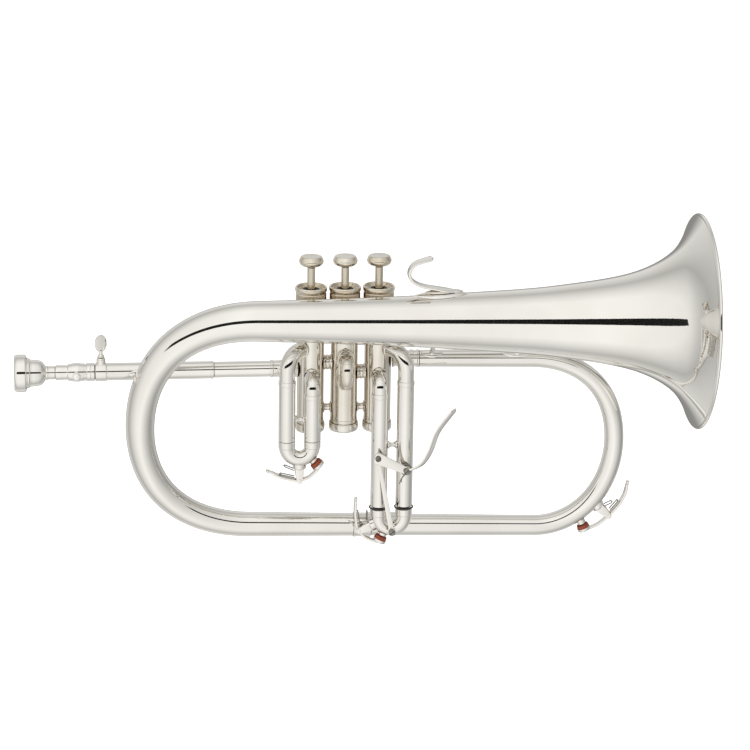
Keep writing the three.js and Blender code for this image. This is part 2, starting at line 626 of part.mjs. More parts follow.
// ---------------------------------------------------------------- leadpipe and mouthpiece
function leadpipe() {
  const end = valveX(1) - 6;
  const tube = turnedX([
    [-102, 4.6], [-102, 5.1], [-91.9, 5.1], [-91.9, LEAD_R], [-52.4, LEAD_R], [-52.4, 6.1], [-43.6, 6.1],
    [-43.6, LEAD_R], [end, LEAD_R], [end, 4.6], [-102, 4.6],
  ]).translate(0, 0, LEAD_Z);
  return cut(tube, casingKeepOut(1));
}

const CLAMP_X = -171.3;
// Fixed outer sleeve with the clamp collar and its boss; the boss is drilled for the wing screw.
function leadpipeSleeve() {
  const [start, end] = SLEEVE_X;
  const tube = turnedX([
    [start, 5.5], [start, 6.5], [-167.4, 6.5], [-167.4, SLEEVE_R], [end, SLEEVE_R], [end, 5.5], [start, 5.5],
  ]).translate(0, 0, LEAD_Z);
  const boss = turnedZ([[0, 5.7], [3.1, 5.7], [3.1, 9.6], [2.5, 10.4], [0, 10.4]], 12)
    .translate(CLAMP_X, 0, LEAD_Z);
  const drill = bar(V(CLAMP_X, 0, LEAD_Z + 4), V(CLAMP_X, 0, LEAD_Z + 12), 1.5, 8);
  return cut(join(tube, boss), drill);
}

const WING_TURN = THREE.MathUtils.degToRad(18);
function wingScrew() {
  const wing = new THREE.Shape(new THREE.EllipseCurve(0, 0, 4.4, 6.4).getPoints(14).slice(0, 14));
  const leaf = plate(wing, 1.7, 0).rotateZ(WING_TURN).translate(0, 0, 20.7);
  const shank = turnedZ([
    [0, 6.1], [1.2, 6.1], [1.2, 10.7], [2.3, 10.7], [2.3, 12], [1.2, 13], [1.2, 15.5], [0, 15.5],
  ], 10);
  return join(leaf, shank).translate(CLAMP_X, 0, LEAD_Z);
}

// The tuning leadpipe slides in the sleeve. Its front end is the receiver, with the lyre screw's boss.
const LYRE_X = -188.6;
function tuningLeadpipe() {
  const tube = turnedX([
    [-203, 4.75], [-203, 5.25], [-194.6, 5.1], [-194.6, 5.8], [-191.6, 6.3], [-187.6, 6.7], [-182, 5.95],
    [-181, 6.1], [-177.6, 6.4], [-175.7, 6.2],
    [-175.7, 5.15], [-134, 5.15], [-134, 4.6], [-176, 4.6], [-176, 4.75], [-203, 4.75],
  ]).translate(0, 0, LEAD_Z);
  const boss = bar(V(LYRE_X, -5.2, LEAD_Z), V(LYRE_X, -8, LEAD_Z), 2.4, 10);
  const drill = bar(V(LYRE_X, -5.6, LEAD_Z), V(LYRE_X, -9, LEAD_Z), 1.3, 8);
  return cut(join(tube, boss), drill);
}

const lyreScrew = () =>
  turnedZ([[0, 5.9], [1, 5.9], [1, 8.3], [2.7, 8.3], [2.9, 9], [2.9, 10.4], [2.1, 11.4], [0, 11.7]], 12)
    .rotateX(Math.PI / 2)
    .translate(LYRE_X, 0, LEAD_Z);

const mouthpiece = () =>
  turnedX([
    [-231.4, 8.5], [-232, 9.6], [-232, 11], [-230.8, 12.6], [-229.6, 13.1], [-223.8, 13.1], [-223.4, 11.3],
    [-221.4, 9.7], [-217, 9.25], [-213, 8.5], [-211.2, 6.6], [-210, 4.9], [-207, 4.73], [-203.8, 4.7],
    [-203.2, 4.35], [-178, 4.05], [-178, 3.4],
    [-209, 2.2], [-214.5, 3.4], [-219, 6.6], [-227, 8.2], [-231.4, 8.5],
  ], 16).translate(0, 0, LEAD_Z);

// ---------------------------------------------------------------- trigger for the third slide
const circle = ([x, z], r) => new THREE.Shape().absarc(x, z, r, 0, 2 * Math.PI, false);
const triggerPin = (at, from, to, r) => bar(V(at[0], from, at[1]), V(at[0], to, at[1]), r, 10);

// Bracket: a short post on the outer leg, which the pivot screw threads into.
const triggerPost = () => cut(
  triggerPin(TRIGGER_PIVOT, LEG_Y - LEG_R + 0.35, TRIGGER_Y + 2.2, 3.1),
  triggerPin(TRIGGER_PIVOT, LEG_Y - LEG_R - 1.2, TRIGGER_Y, 1.4),
);

function thirdSlideTubes() {
  const tubes = slideTubes(3, 1, LEG_END_Z[3], -5.7);
  return join(tubes, triggerPost());
}

// The finger plate leans across its width, so that it meets the finger flat.
const turnedPlate = (geometry) => {
  const [leanX, leanZ] = [0.5, -0.28];
  const lean = new THREE.Matrix4().set(1, leanX, 0, 0, 0, 1, 0, 0, 0, leanZ, 1, 0, 0, 0, 0, 1);
  return geometry.translate(0, -TRIGGER_Y, 0).applyMatrix4(lean).translate(0, TRIGGER_Y, 0);
};

function triggerLever() {
  const [px, pz] = TRIGGER_PIVOT;
  const [lx, lz] = LINK_TOP;
  const corners = [
    [px, pz + 3], [lx - 1, lz + 3.4], [lx - 3.2, lz], [lx - 1, lz - 3.4], [px - 6, pz - 1.2], [px, pz - 3],
  ];
  const arm = new THREE.Shape(corners.map(([x, z]) => new THREE.Vector2(x, z)));
  const rise = [[0, 0], [6.5, 2.2], [12, 6], [17, 15], [22, 29], [34, 45.6]];
  const finger = rise.map(([x, z]) => [px + x, pz + z]);
  const body = join(
    plate(arm, 1.6, TRIGGER_Y),
    plate(circle(TRIGGER_PIVOT, 3.4), 1.6, TRIGGER_Y),
    strap(finger, 1.9, 1.6, TRIGGER_Y, 4),
    turnedPlate(strap(finger.slice(1), 1.9, 8, TRIGGER_Y, 12)),
  );
  return cut(body, triggerPin(TRIGGER_PIVOT, -40, 0, 1.5), triggerPin(LINK_TOP, -40, 0, 1.3));
}

// A screw along Y with its head towards the viewer's side; the head rests on y = face.
const screw = (at, face, length, shankR, headR, headHeight = 1.6) =>
  turnedZ([
    [0, -length], [shankR, -length], [shankR, 0], [headR, 0], [headR, headHeight - 0.4],
    [headR - 0.5, headHeight], [0, headHeight],
  ], 10).rotateX(Math.PI / 2)
    .translate(at[0], face, at[1]);

const LINK_Y = TRIGGER_Y + 2;
const LINK_EYE_R = 2.1; // wide round its screw, so the slide's straight motion clears the lever's arc
function triggerLink() {
  const [ax, az] = LINK_TOP;
  const [bx, bz] = LINK_BOTTOM;
  const length = Math.hypot(bx - ax, bz - az);
  const [sx, sz] = [-(bz - az) / length, (bx - ax) / length];
  const half = 1.6;
  const edges = [[ax, az, half], [ax, az, -half], [bx, bz, -half], [bx, bz, half]];
  const strip = new THREE.Shape(edges.map(([x, z, d]) => new THREE.Vector2(x + d * sx, z + d * sz)));
  const eyes = [plate(circle(LINK_TOP, 2.5), 1.4, LINK_Y), plate(circle(LINK_BOTTOM, 3.2), 1.4, LINK_Y)];
  const body = join(plate(strip, 1.4, LINK_Y), ...eyes);
  return cut(body, triggerPin(LINK_TOP, -40, 0, 1.3), triggerPin(LINK_BOTTOM, -40, 0, LINK_EYE_R));
}

// Stud on the third bow that the link's lower eye turns on.
const linkStud = () => triggerPin(LINK_BOTTOM, LEG_Y - 4, LINK_Y + 1.4, 2.2);
const thirdSlideBow = () => {
  const bow = slideBow(3, 1, -53.4, BOW_Z[3], -14, KEYS.third);
  return cut(join(bow, linkStud()), triggerPin(LINK_BOTTOM, LEG_Y - 5, -40, 1.1), thirdBowBore());
};

// The passage through the third bow, cleared again once the link's stud is on it.
function thirdBowBore() {
  const middle = valveX(3) + LEG_SPACING / 2;
  const half = LEG_SPACING / 2;
  const bend = new Bend(V(middle, LEG_Y, BOW_Z[3]), V(-half, 0, 0), V(0, 0, -half), 0, Math.PI);
  const route = stations([bend, 8]);
  return pipe(route, INNER_R - 0.5, null, Y_AXIS);
}

// ---------------------------------------------------------------- finger hook
function fingerHook() {
  const top = BELL_Z - 50 * Math.sin(LOOP_TILT) + hornRadius(bellLength - (RIM_X - 50));
  const curl = [
    [76, top + 3.4], [62, top + 6.3], [52, top + 7.8], [45.6, top + 10], [42.2, top + 14.2],
    [42.4, top + 19], [46.5, top + 23.6], [58.5, top + 27.4],
  ];
  const base = foot(V(62, BELL_Y, top + 0.8), 36, 13, 6);
  return cut(join(strap(curl, 2.3, 7, BELL_Y, 18), base), bellKeepOut());
}

// ---------------------------------------------------------------- braces
// A post between two tubes with an oval foot on each, trimmed to sit on them.
function brace(from, to, radius, feet, ...keepOuts) {
  const ovals = feet.map(([centre, length, width, height]) => foot(centre, length, width, height));
  return cut(join(bar(from, to, radius, 8), ...ovals), ...keepOuts);
}

function bellBrace(x, footLength) {
  const tube = loopPoint(x, 0, EXIT_Z);
  const axis = loopPoint(x, BELL_Y, BELL_Z);
  const toBell = axis.clone().sub(tube).normalize();
  const bellR = hornRadius(bellLength - (RIM_X - x));
  const low = tube.clone().addScaledVector(toBell, 5.6);
  const high = axis.clone().addScaledVector(toBell, -bellR);
  return brace(tube.clone().addScaledVector(toBell, 2), axis.clone().addScaledVector(toBell, 6 - bellR), 1.7,
    [[low, footLength, 7, 2.6], [high, 16, 10, 2.8]], mainBowKeepOut(), bellKeepOut());
}

// A short post from the leadpipe's sleeve to the left bow that passes beside it.
function leadpipeBrace() {
  const sleeve = bar(V(-170, 0, LEAD_Z), V(-120, 0, LEAD_Z), SLEEVE_R + GAP + 0.05, 16);
  return brace(V(-146, 0, LEAD_Z), V(-140.5, -18.6, 41.5), 2.4,
    [[V(-145, -5.4, 43.4), 15, 7, 3]], sleeve, bellKeepOut());
}

// A post from the bottom tube, behind the third slide, to that slide's inner fixed leg.
function bottomBrace() {
  const leg = bar(V(valveX(3), LEG_Y, -60), V(valveX(3), LEG_Y, -30), LEG_R + GAP + 0.05, 16);
  return brace(V(31.5, 0, -71), V(24.4, -16, -36), 1.8,
    [[V(33.6, 0, -66.3), 21, 9, 3.2], [V(24.6, -12.8, -42.5), 6, 4, 4.5]], mainBowKeepOut(), leg);
}

// ---------------------------------------------------------------- assembly
add("bell", bell());
add("bell_tail_ferrule", tailFerrule());
add("main_bow", mainBow());
add("exit_tube", exitTube());
add("leadpipe", leadpipe());
add("leadpipe_sleeve", leadpipeSleeve());
add("tuning_leadpipe", tuningLeadpipe());
add("mouthpiece", mouthpiece());
add("wing_screw", wingScrew());
add("lyre_screw", lyreScrew());

const toward = (x, y) => V(x, y, 0).normalize();
const crookDirection = (side) => toward(side * LEG_SPACING, LEG_Y);
const FRONT = toward(0, -1);
add("valve_casing_1", valveCasing(1, [
  [LEAD_Z, toward(-1, 0), 4.6], [BRIDGE_Z[0], toward(1, 0), 4.2], [LOWER_PORT_Z, FRONT, 4.6],
  [UPPER_PORT_Z, crookDirection(-1), 4.6],
]));
add("valve_casing_2", middleCasing());
add("valve_casing_3", valveCasing(3, [
  [52.4, toward(1, 0), 4.6], [BRIDGE_Z[1], toward(-1, 0), 4.2], [LOWER_PORT_Z, FRONT, 4.6],
  [UPPER_PORT_Z, crookDirection(1), 4.6],
]));
for (const i of [1, 2, 3]) {
  const parts = [
    ["top_cap", topCap(), SILVER],
    ["bottom_cap", bottomCap(), SILVER],
    ["felt_washer", feltWasher(), FELT],
    ["piston", piston(), MONEL],
    ["finger_button", fingerButton(), SILVER],
    ["valve_spring", valveSpring(), STEEL],
  ];
  for (const [name, geometry, material] of parts) {
    add(`${name}_${i}`, geometry, material).position.x = valveX(i);
  }
}
add("valve_bridge_1_2", valveBridge(1));
add("valve_bridge_2_3", valveBridge(2));

add("first_slide_tubes", slideTubes(1, -1, LEG_END_Z[1], 14.6));
add("first_slide_bow", slideBow(1, -1, -1.3, BOW_Z[1], 31, KEYS.first));
add("second_slide_bow", secondSlideBow());
add("third_slide_tubes", thirdSlideTubes());
add("third_slide_bow", thirdSlideBow());
const BUMPER_Z = -52.3;
const bumper = () => {
  const angles = Array.from({ length: 7 }, (_, k) => (k * Math.PI) / 3);
  const ring = angles.map((a) => [6.3 + 0.6 * Math.cos(a), BUMPER_Z + 0.6 * Math.sin(a)]);
  return turnedZ(ring, 14);
};
add("slide_bumper_inner", bumper(), RUBBER).position.set(valveX(3), LEG_Y, 0);
add("slide_bumper_outer", bumper(), RUBBER).position.set(valveX(3) + LEG_SPACING, LEG_Y, 0);

add("trigger_lever", triggerLever());
add("trigger_link", triggerLink());
add("trigger_pivot_screw", screw(TRIGGER_PIVOT, TRIGGER_Y - 1.1, 4, 1.1, 2.6), STEEL);
add("trigger_spring", coil(V(TRIGGER_PIVOT[0], -26.4, TRIGGER_PIVOT[1]), V(0, 1, 0), 3.9, 2.6, 3, 0.4), STEEL);
add("link_screw_upper", screw(LINK_TOP, TRIGGER_Y - 1.1, 3.6, 1, 2.2), STEEL);
add("link_screw_lower", screw(LINK_BOTTOM, LINK_Y - 1, 5, 0.8, 3), STEEL);

for (const [owner, key] of Object.entries(KEYS)) {
  add(`${owner}_key_lever`, keyLever(key));
  add(`${owner}_key_cork`, keyCork(key), CORK);
  add(`${owner}_key_spring`, keySpring(key), STEEL);
}

add("finger_hook", fingerHook());
add("bell_brace_front", bellBrace(122, 20));
add("bell_brace_rear", bellBrace(61, 15));
add("leadpipe_brace", leadpipeBrace());
add("bottom_brace", bottomBrace());

export default flugelhorn;
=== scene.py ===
"""Looks for the flugelhorn: fine silver-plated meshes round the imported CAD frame, in a white light tent.

Lengths are in millimetres until make() scales them to metres.
"""
import json
import math

import bmesh
import bpy
import numpy as np
from mathutils import Matrix, Vector


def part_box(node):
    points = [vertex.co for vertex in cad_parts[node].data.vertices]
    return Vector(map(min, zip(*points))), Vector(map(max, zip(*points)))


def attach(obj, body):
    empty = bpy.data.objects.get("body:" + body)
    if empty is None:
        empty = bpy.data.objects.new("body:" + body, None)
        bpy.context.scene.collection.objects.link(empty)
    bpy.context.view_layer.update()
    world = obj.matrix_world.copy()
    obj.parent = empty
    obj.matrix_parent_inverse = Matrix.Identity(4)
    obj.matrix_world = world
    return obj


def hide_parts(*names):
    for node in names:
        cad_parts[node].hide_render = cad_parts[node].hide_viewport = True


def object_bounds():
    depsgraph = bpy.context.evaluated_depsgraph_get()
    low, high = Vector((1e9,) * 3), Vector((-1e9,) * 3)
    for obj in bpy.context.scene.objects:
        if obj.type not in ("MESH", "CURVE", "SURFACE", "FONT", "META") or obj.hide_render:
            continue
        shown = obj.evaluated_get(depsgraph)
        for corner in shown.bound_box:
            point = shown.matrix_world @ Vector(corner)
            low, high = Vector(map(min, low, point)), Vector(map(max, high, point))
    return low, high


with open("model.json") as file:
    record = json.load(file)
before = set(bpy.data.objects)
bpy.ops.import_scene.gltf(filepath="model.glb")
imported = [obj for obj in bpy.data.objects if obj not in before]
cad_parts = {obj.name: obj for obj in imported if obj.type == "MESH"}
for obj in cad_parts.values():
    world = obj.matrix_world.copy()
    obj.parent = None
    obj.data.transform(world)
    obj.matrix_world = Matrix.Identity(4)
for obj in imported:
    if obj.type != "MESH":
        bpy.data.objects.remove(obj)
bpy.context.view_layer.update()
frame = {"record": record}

MM = 0.001
X, Y, Z = np.eye(3)
SIDES = 96  # round a big tube
SMALL = 40  # round a small one

# ------------------------------------------------------------------ places read from the frame


def low(node):
    return np.array(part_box(node)[0]) / MM


def high(node):
    return np.array(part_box(node)[1]) / MM


def middle(node):
    return (low(node) + high(node)) / 2


JOINTS = {j["name"]: j for j in frame["record"]["behaviour"]["joints"]}


def pivot(joint):
    return np.array(JOINTS[joint]["pos_m"]) / MM


VALVE_X = [middle(f"bottom_cap_{i}")[0] for i in (1, 2, 3)]
PITCH = VALVE_X[1] - VALVE_X[0]
CASING_R = 9.45
CASING_BORE_R = 8.8
LEAD_Z = middle("mouthpiece")[2]
LEG_Y = middle("slide_bumper_outer")[1]
LEG_SPACING = middle("slide_bumper_outer")[0] - middle("slide_bumper_inner")[0]
LEG_R = 5.9
BOW_R = 5.6
INNER_R = 4.95
CAP_TOP = high("top_cap_2")[2]
BUTTON_TOP = high("finger_button_2")[2]

# The bell loop lies in an upright plane tipped nose-down by LOOP_TILT; its bottom tube drops a bit more.
LOOP_TILT = math.radians(1.0)
BOTTOM_SLOPE = math.radians(0.71)
RIM_R = 76.0
RIM_X = 244.5
FLARE_THROAT = 20.0
FLARE_POWER = 0.62
# How much wider than the law the horn runs, by distance from the rim.
FULLNESS = [(0, 1), (15, 0.955), (35, 0.957), (100, 1.02), (170, 1.065), (310, 1.07), (430, 0.94),
            (640, 0.955)]
BELL_Y = -27.0
BELL_Z, EXIT_Z, BOTTOM_Z = 88.2, 53.0, -71.87
LEFT_BOW_X, RIGHT_BOW_X = -65.35, 132.8
LOWER_BOW_X = 141.0  # the right bow's lower quarter is centred further out, so it turns tighter
BOW_SWELL, LOWER_BOW_SWELL = 0.033, 0.006
TAIL_X, EXIT_END_X, FERRULE = 8.8, 52.0, 13.0
MAIN_BOW_R = (6.0, 7.9)

# ------------------------------------------------------------------ mesh parts: (vertices, faces)


def unit(v):
    v = np.asarray(v, float)
    return v / np.linalg.norm(v)


def loft(rings, closed=False):
    """Skins a list of equal rings of points. An open list gets its two ends closed."""
    rings = np.asarray(rings, float)
    count, sides = rings.shape[:2]
    verts = [tuple(p) for p in rings.reshape(-1, 3)]
    faces = []
    for i in range(count if closed else count - 1):
        a, b = i * sides, ((i + 1) % count) * sides
        for k in range(sides):
            m = (k + 1) % sides
            faces.append((a + k, a + m, b + m, b + k))
    if not closed:
        for start, way in ((0, -1), ((count - 1) * sides, 1)):
            faces.append(tuple(range(start, start + sides))[::way])
    return verts, faces


def sweep_rings(points, radii, across, sides=SMALL):
    """Rings of a round tube along points. across is a direction the route never runs along."""
    points = np.asarray(points, float)
    radii = np.broadcast_to(np.asarray(radii, float), len(points))
    tangent = np.gradient(points, axis=0)
    tangent /= np.linalg.norm(tangent, axis=1)[:, None]
    b = across - (tangent @ across)[:, None] * tangent
    b /= np.linalg.norm(b, axis=1)[:, None]
    n = np.cross(tangent, b)
    phi = np.linspace(0, 2 * np.pi, sides, endpoint=False)
    ring = np.cos(phi)[None, :, None] * n[:, None, :] + np.sin(phi)[None, :, None] * b[:, None, :]
    return points[:, None, :] + radii[:, None, None] * ring


def tube(points, radii, across=Y, sides=SMALL):
    return loft(sweep_rings(points, radii, across, sides))


def rounded(outline, radius, steps=4, closed=False):
    """Rounds each corner of a polyline with a short curve."""
    pts = [np.asarray(p, float) for p in outline]
    out = []
    count = len(pts)
    for i, p in enumerate(pts):
        if not closed and i in (0, count - 1):
            out.append(p)
            continue
        a, b = pts[i - 1] - p, pts[(i + 1) % count] - p
        la, lb = np.linalg.norm(a), np.linalg.norm(b)
        cut = min(radius, la * 0.45, lb * 0.45)
        if cut < 1e-4:
            out.append(p)
            continue
        start, end = p + a / la * cut, p + b / lb * cut
        for t in np.linspace(0, 1, steps + 1):
            out.append((1 - t) ** 2 * start + 2 * t * (1 - t) * p + t * t * end)
    return np.array(out)


def turned(profile, at=(0, 0, 0), axis=Z, sides=SIDES, soft=0.3, closed=False, knurl=None):
    """A lathe shape from (radius, height) pairs. knurl is (low, high, teeth, depth) on the heights."""
    pts = rounded(profile, soft, closed=closed) if soft else np.asarray(profile, float)
    axis = unit(axis)
    helper = X if abs(axis[0]) < 0.9 else Y
    e1 = unit(np.cross(axis, helper))
    e2 = np.cross(axis, e1)
    phi = np.linspace(0, 2 * np.pi, sides, endpoint=False)
    turn = np.cos(phi)[:, None] * e1 + np.sin(phi)[:, None] * e2
    rings = []
    for r, h in pts:
        radius = np.full(sides, max(r, 1e-3))
        if knurl and knurl[0] <= h <= knurl[1] and r > knurl[4]:
            radius = radius - knurl[3] * (0.5 + 0.5 * np.cos(phi * knurl[2]))
        rings.append(np.asarray(at, float) + axis * h + radius[:, None] * turn)
    return loft(rings, closed)


def arc(centre, start, side, first, last, steps, swell=0.0):
    """start and side are the vectors from the centre at 0 and 90 degrees; swell fills out the quarters."""
    t = np.linspace(0, 1, steps + 1)
    a = first + (last - first) * t
    quarters = round((last - first) / (np.pi / 2))
    bulge = 1 + swell * np.sin(quarters * np.pi * t) ** 2
    ring = np.cos(a)[:, None] * np.asarray(start, float) + np.sin(a)[:, None] * np.asarray(side, float)
    return np.asarray(centre, float) + bulge[:, None] * ring


def straight(a, b, steps):
    t = np.linspace(0, 1, steps + 1)[:, None]
    return np.asarray(a, float) * (1 - t) + np.asarray(b, float) * t


def chain(*pieces):
    """Joins runs of points, dropping each repeated joint."""
    out = [pieces[0]]
    for piece in pieces[1:]:
        out.append(piece[1:])
    return np.concatenate(out)


def smooth_curve(points, steps=8):
    """A Catmull-Rom curve through the points."""
    p = np.asarray(points, float)
    p = np.concatenate([[2 * p[0] - p[1]], p, [2 * p[-1] - p[-2]]])
    out = []
    for i in range(1, len(p) - 2):
        for t in np.linspace(0, 1, steps, endpoint=False):
            a, b, c, d = p[i - 1 : i + 3]
            square = (2 * a - 5 * b + 4 * c - d) * t**2
            cube = (3 * b - a - 3 * c + d) * t**3
            out.append(0.5 * (2 * b + (c - a) * t + square + cube))
    out.append(p[-2])
    return np.array(out)


def distances(points):
    return np.concatenate([[0], np.cumsum(np.linalg.norm(np.diff(points, axis=0), axis=1))])


def wire(points, radius, across=Y, sides=14):
    """A round wire with domed ends."""
    points = np.asarray(points, float)
    radii = np.full(len(points), float(radius))
    first, last = unit(points[0] - points[1]), unit(points[-1] - points[-2])
    dome = [(0.5, 0.87), (0.87, 0.5), (0.99, 0.12)]
    start = [points[0] + first * radius * d for d, _ in reversed(dome)]
    end = [points[-1] + last * radius * d for d, _ in dome]
    thin = [radius * r for _, r in dome]
    points = np.concatenate([start, points, end])
    return tube(points, np.concatenate([thin[::-1], radii, thin]), across, sides)


def strap(points, y, thickness, widths, sides=28):
    """A flat strap along [x, z] points, its width along Y. widths and thickness may change along it."""
    path = smooth_curve([(px, y, pz) for px, pz in points])
    u = distances(path) / distances(path)[-1]
    half_w = np.interp(u, np.linspace(0, 1, len(widths)), widths) / 2
    half_t = np.interp(u, np.linspace(0, 1, 2), np.broadcast_to(thickness, 2)) / 2
    length = distances(path)[-1]
    edge = np.minimum(u, 1 - u) * length
    nose = np.sqrt(np.clip(1 - (1 - np.clip(edge / 1.6, 0, 1)) ** 2, 0.02, 1))
    tangent = np.gradient(path, axis=0)
    tangent /= np.linalg.norm(tangent, axis=1)[:, None]
    normal = np.cross(Y, tangent)
    phi = np.linspace(0, 2 * np.pi, sides, endpoint=False)
    c, s = np.cos(phi), np.sin(phi)
    flat_t = np.sign(c) * np.abs(c) ** 0.55
    flat_w = np.sign(s) * np.abs(s) ** 0.35
    rings = (
        path[:, None, :]
        + (half_t * np.sqrt(nose))[:, None, None] * flat_t[None, :, None] * normal[:, None, :]
        + (half_w * nose)[:, None, None] * flat_w[None, :, None] * Y[None, None, :]
    )
    return loft(rings)


def plate(outline, thickness, y, edge=0.3):
    """An outline of [x, z] points extruded along Y, with rounded edges."""
    pts = np.asarray(outline, float)
    before, after = np.roll(pts, 1, axis=0), np.roll(pts, -1, axis=0)
    along = after - before
    along /= np.linalg.norm(along, axis=1)[:, None]
    inward = np.stack([-along[:, 1], along[:, 0]], axis=1)
    area = 0.5 * np.sum(before[:, 0] * pts[:, 1] - pts[:, 0] * before[:, 1])
    inward *= np.sign(area)
    rings = []
    turns = np.linspace(0, np.pi / 2, 5)
    sections = [(-thickness / 2 + edge * (1 - np.sin(a)), edge * (1 - np.cos(a))) for a in turns[::-1]]
    sections += [(thickness / 2 - edge * (1 - np.sin(a)), edge * (1 - np.cos(a))) for a in turns]
    for dy, inset in sections:
        p = pts + inward * inset
        rings.append(np.stack([p[:, 0], np.full(len(p), y + dy), p[:, 1]], axis=1))
    return loft(rings)


def circle_outline(at, radius, sides=40):
    a = np.linspace(0, 2 * np.pi, sides, endpoint=False)
    return np.stack([at[0] + radius * np.cos(a), at[1] + radius * np.sin(a)], axis=1)


def hull_outline(*discs):
    """The outline round a run of discs ((x, z), radius), as a belt round pulleys."""
    cloud = np.concatenate([circle_outline(at, r, 72) for at, r in discs])
    order = sorted(map(tuple, cloud))

    def chainhull(points):
        out = []
        for p in points:
            while len(out) > 1 and np.cross(np.subtract(out[-1], out[-2]), np.subtract(p, out[-1])) <= 1e-9:
                out.pop()
            out.append(p)
        return out[:-1]

    return np.array(chainhull(order) + chainhull(order[::-1]))


def leaf(axis_at, radius_at, up, start, end, width, height, steps=36, sides=24):
    """A pointed leaf soldered to a tube: it hugs the tube from start to end along its axis."""
    rings = []
    for u in np.linspace(-0.995, 0.995, steps):
        s = (start + end) / 2 + u * (end - start) / 2
        centre, radius = np.asarray(axis_at(s), float), radius_at(s)
        ahead = unit(np.asarray(axis_at(s + 0.5), float) - centre)
        top = unit(up - np.dot(up, ahead) * ahead)
        side = np.cross(ahead, top)
        shape = (1 - abs(u) ** 2.2) ** 0.9
        half = max(width / 2 * shape, 0.05)
        v = np.concatenate([np.linspace(-1, 1, sides), np.linspace(1, -1, sides)[1:-1]])
        upper = np.concatenate([np.ones(sides), np.zeros(sides - 2)])
        rise = height * shape**0.5 * np.sqrt(np.clip(1 - v**2, 0, 1)) * upper + 0.05
        angle = v * half / (radius + 0.5)
        r = radius - 0.35 + (rise + 0.35) * upper
        rings.append(centre + r[:, None] * (np.cos(angle)[:, None] * top + np.sin(angle)[:, None] * side))
    return loft(rings)


# ------------------------------------------------------------------ materials


def node(tree, kind, **inputs):
    made = tree.nodes.new(kind)
    for name, value in inputs.items():
        made.inputs[name.replace("_", " ")].default_value = value
    return made


def ramp(tree, factor, stops):
    made = tree.nodes.new("ShaderNodeValToRGB")
    elements = made.color_ramp.elements
    while len(elements) < len(stops):
        elements.new(0.5)
    for element, (position, colour) in zip(elements, stops):
        element.position = position
        element.color = (*colour, 1) if len(colour) == 3 else colour
    tree.links.new(factor, made.inputs["Fac"])
    return made.outputs["Color"]


def grey(v):
    return (v, v, v)


def new_material(name):
    material = bpy.data.materials.new(name)
    material.use_nodes = True
    tree = material.node_tree
    shader = tree.nodes["Principled BSDF"]
    coords = tree.nodes.new("ShaderNodeTexCoord").outputs["Object"]
    return material, tree, shader, coords


def noise(tree, coords, scale, detail=3.0, stretch=None):
    source = coords
    if stretch:
        mapping = tree.nodes.new("ShaderNodeMapping")
        mapping.inputs["Scale"].default_value = stretch
        tree.links.new(coords, mapping.inputs["Vector"])
        source = mapping.outputs["Vector"]
    made = node(tree, "ShaderNodeTexNoise", Scale=scale, Detail=detail)
    tree.links.new(source, made.inputs["Vector"])
    return made.outputs["Fac"]


def bump(tree, shader, height, strength, distance):
    made = node(tree, "ShaderNodeBump", Strength=strength, Distance=distance)
    tree.links.new(height, made.inputs["Height"])
    tree.links.new(made.outputs["Normal"], shader.inputs["Normal"])


def metal(name, bright, dull, rough, stretch=None, corner_shade_reach=0.55, scratch=0.02):
    """Polished or brushed metal: cloudy gloss, fine scratches, and a warm painted shade that darkens the
    colour in the corners.
    """
    material, tree, shader, coords = new_material(name)
    shader.inputs["Metallic"].default_value = 1.0
    clouds = noise(tree, coords, 28.0, 4.0)
    fine = noise(tree, coords, 900.0, 2.0, stretch)
    colour = ramp(tree, clouds, [(0.3, dull), (0.7, bright)])
    # Painted shade: where ambient occlusion finds corners and gaps, the colour goes over to a warm dark
    # brown.
    corners = node(tree, "ShaderNodeAmbientOcclusion", Distance=0.011)
    corners.samples = 6
    painted_corner_shade = ramp(tree, corners.outputs["AO"], [(0.0, grey(1)), (corner_shade_reach, grey(0))])
    mix = tree.nodes.new("ShaderNodeMix")
    mix.data_type = "RGBA"
    mix.inputs["B"].default_value = (dull[0] * 0.62, dull[1] * 0.52, dull[2] * 0.4, 1)
    tree.links.new(painted_corner_shade, mix.inputs["Factor"])
    tree.links.new(colour, mix.inputs["A"])
    tree.links.new(mix.outputs["Result"], shader.inputs["Base Color"])
    low_rough, high_rough = rough
    gloss = ramp(tree, clouds, [(0.35, grey(low_rough)), (0.7, grey(high_rough))])
    tree.links.new(gloss, shader.inputs["Roughness"])
    bump(tree, shader, fine, scratch, 0.0002)
    return material


def soft_matter(name, dark, light, scale, rough, strength, depth):
    """Cork, felt or rubber: grains of two tones with their own relief."""
    material, tree, shader, coords = new_material(name)
    cells = node(tree, "ShaderNodeTexVoronoi", Scale=scale)
    tree.links.new(coords, cells.inputs["Vector"])
    clouds = noise(tree, coords, scale * 0.6, 6.0)
    total = tree.nodes.new("ShaderNodeMath")
    total.operation = "MULTIPLY_ADD"
    total.inputs[1].default_value = 0.6
    tree.links.new(cells.outputs["Distance"], total.inputs[0])
    tree.links.new(clouds, total.inputs[2])
    colour = ramp(tree, total.outputs["Value"], [(0.4, dark), (0.85, light)])
    tree.links.new(colour, shader.inputs["Base Color"])
    shader.inputs["Roughness"].default_value = rough
    bump(tree, shader, total.outputs["Value"], strength, depth)
    return material
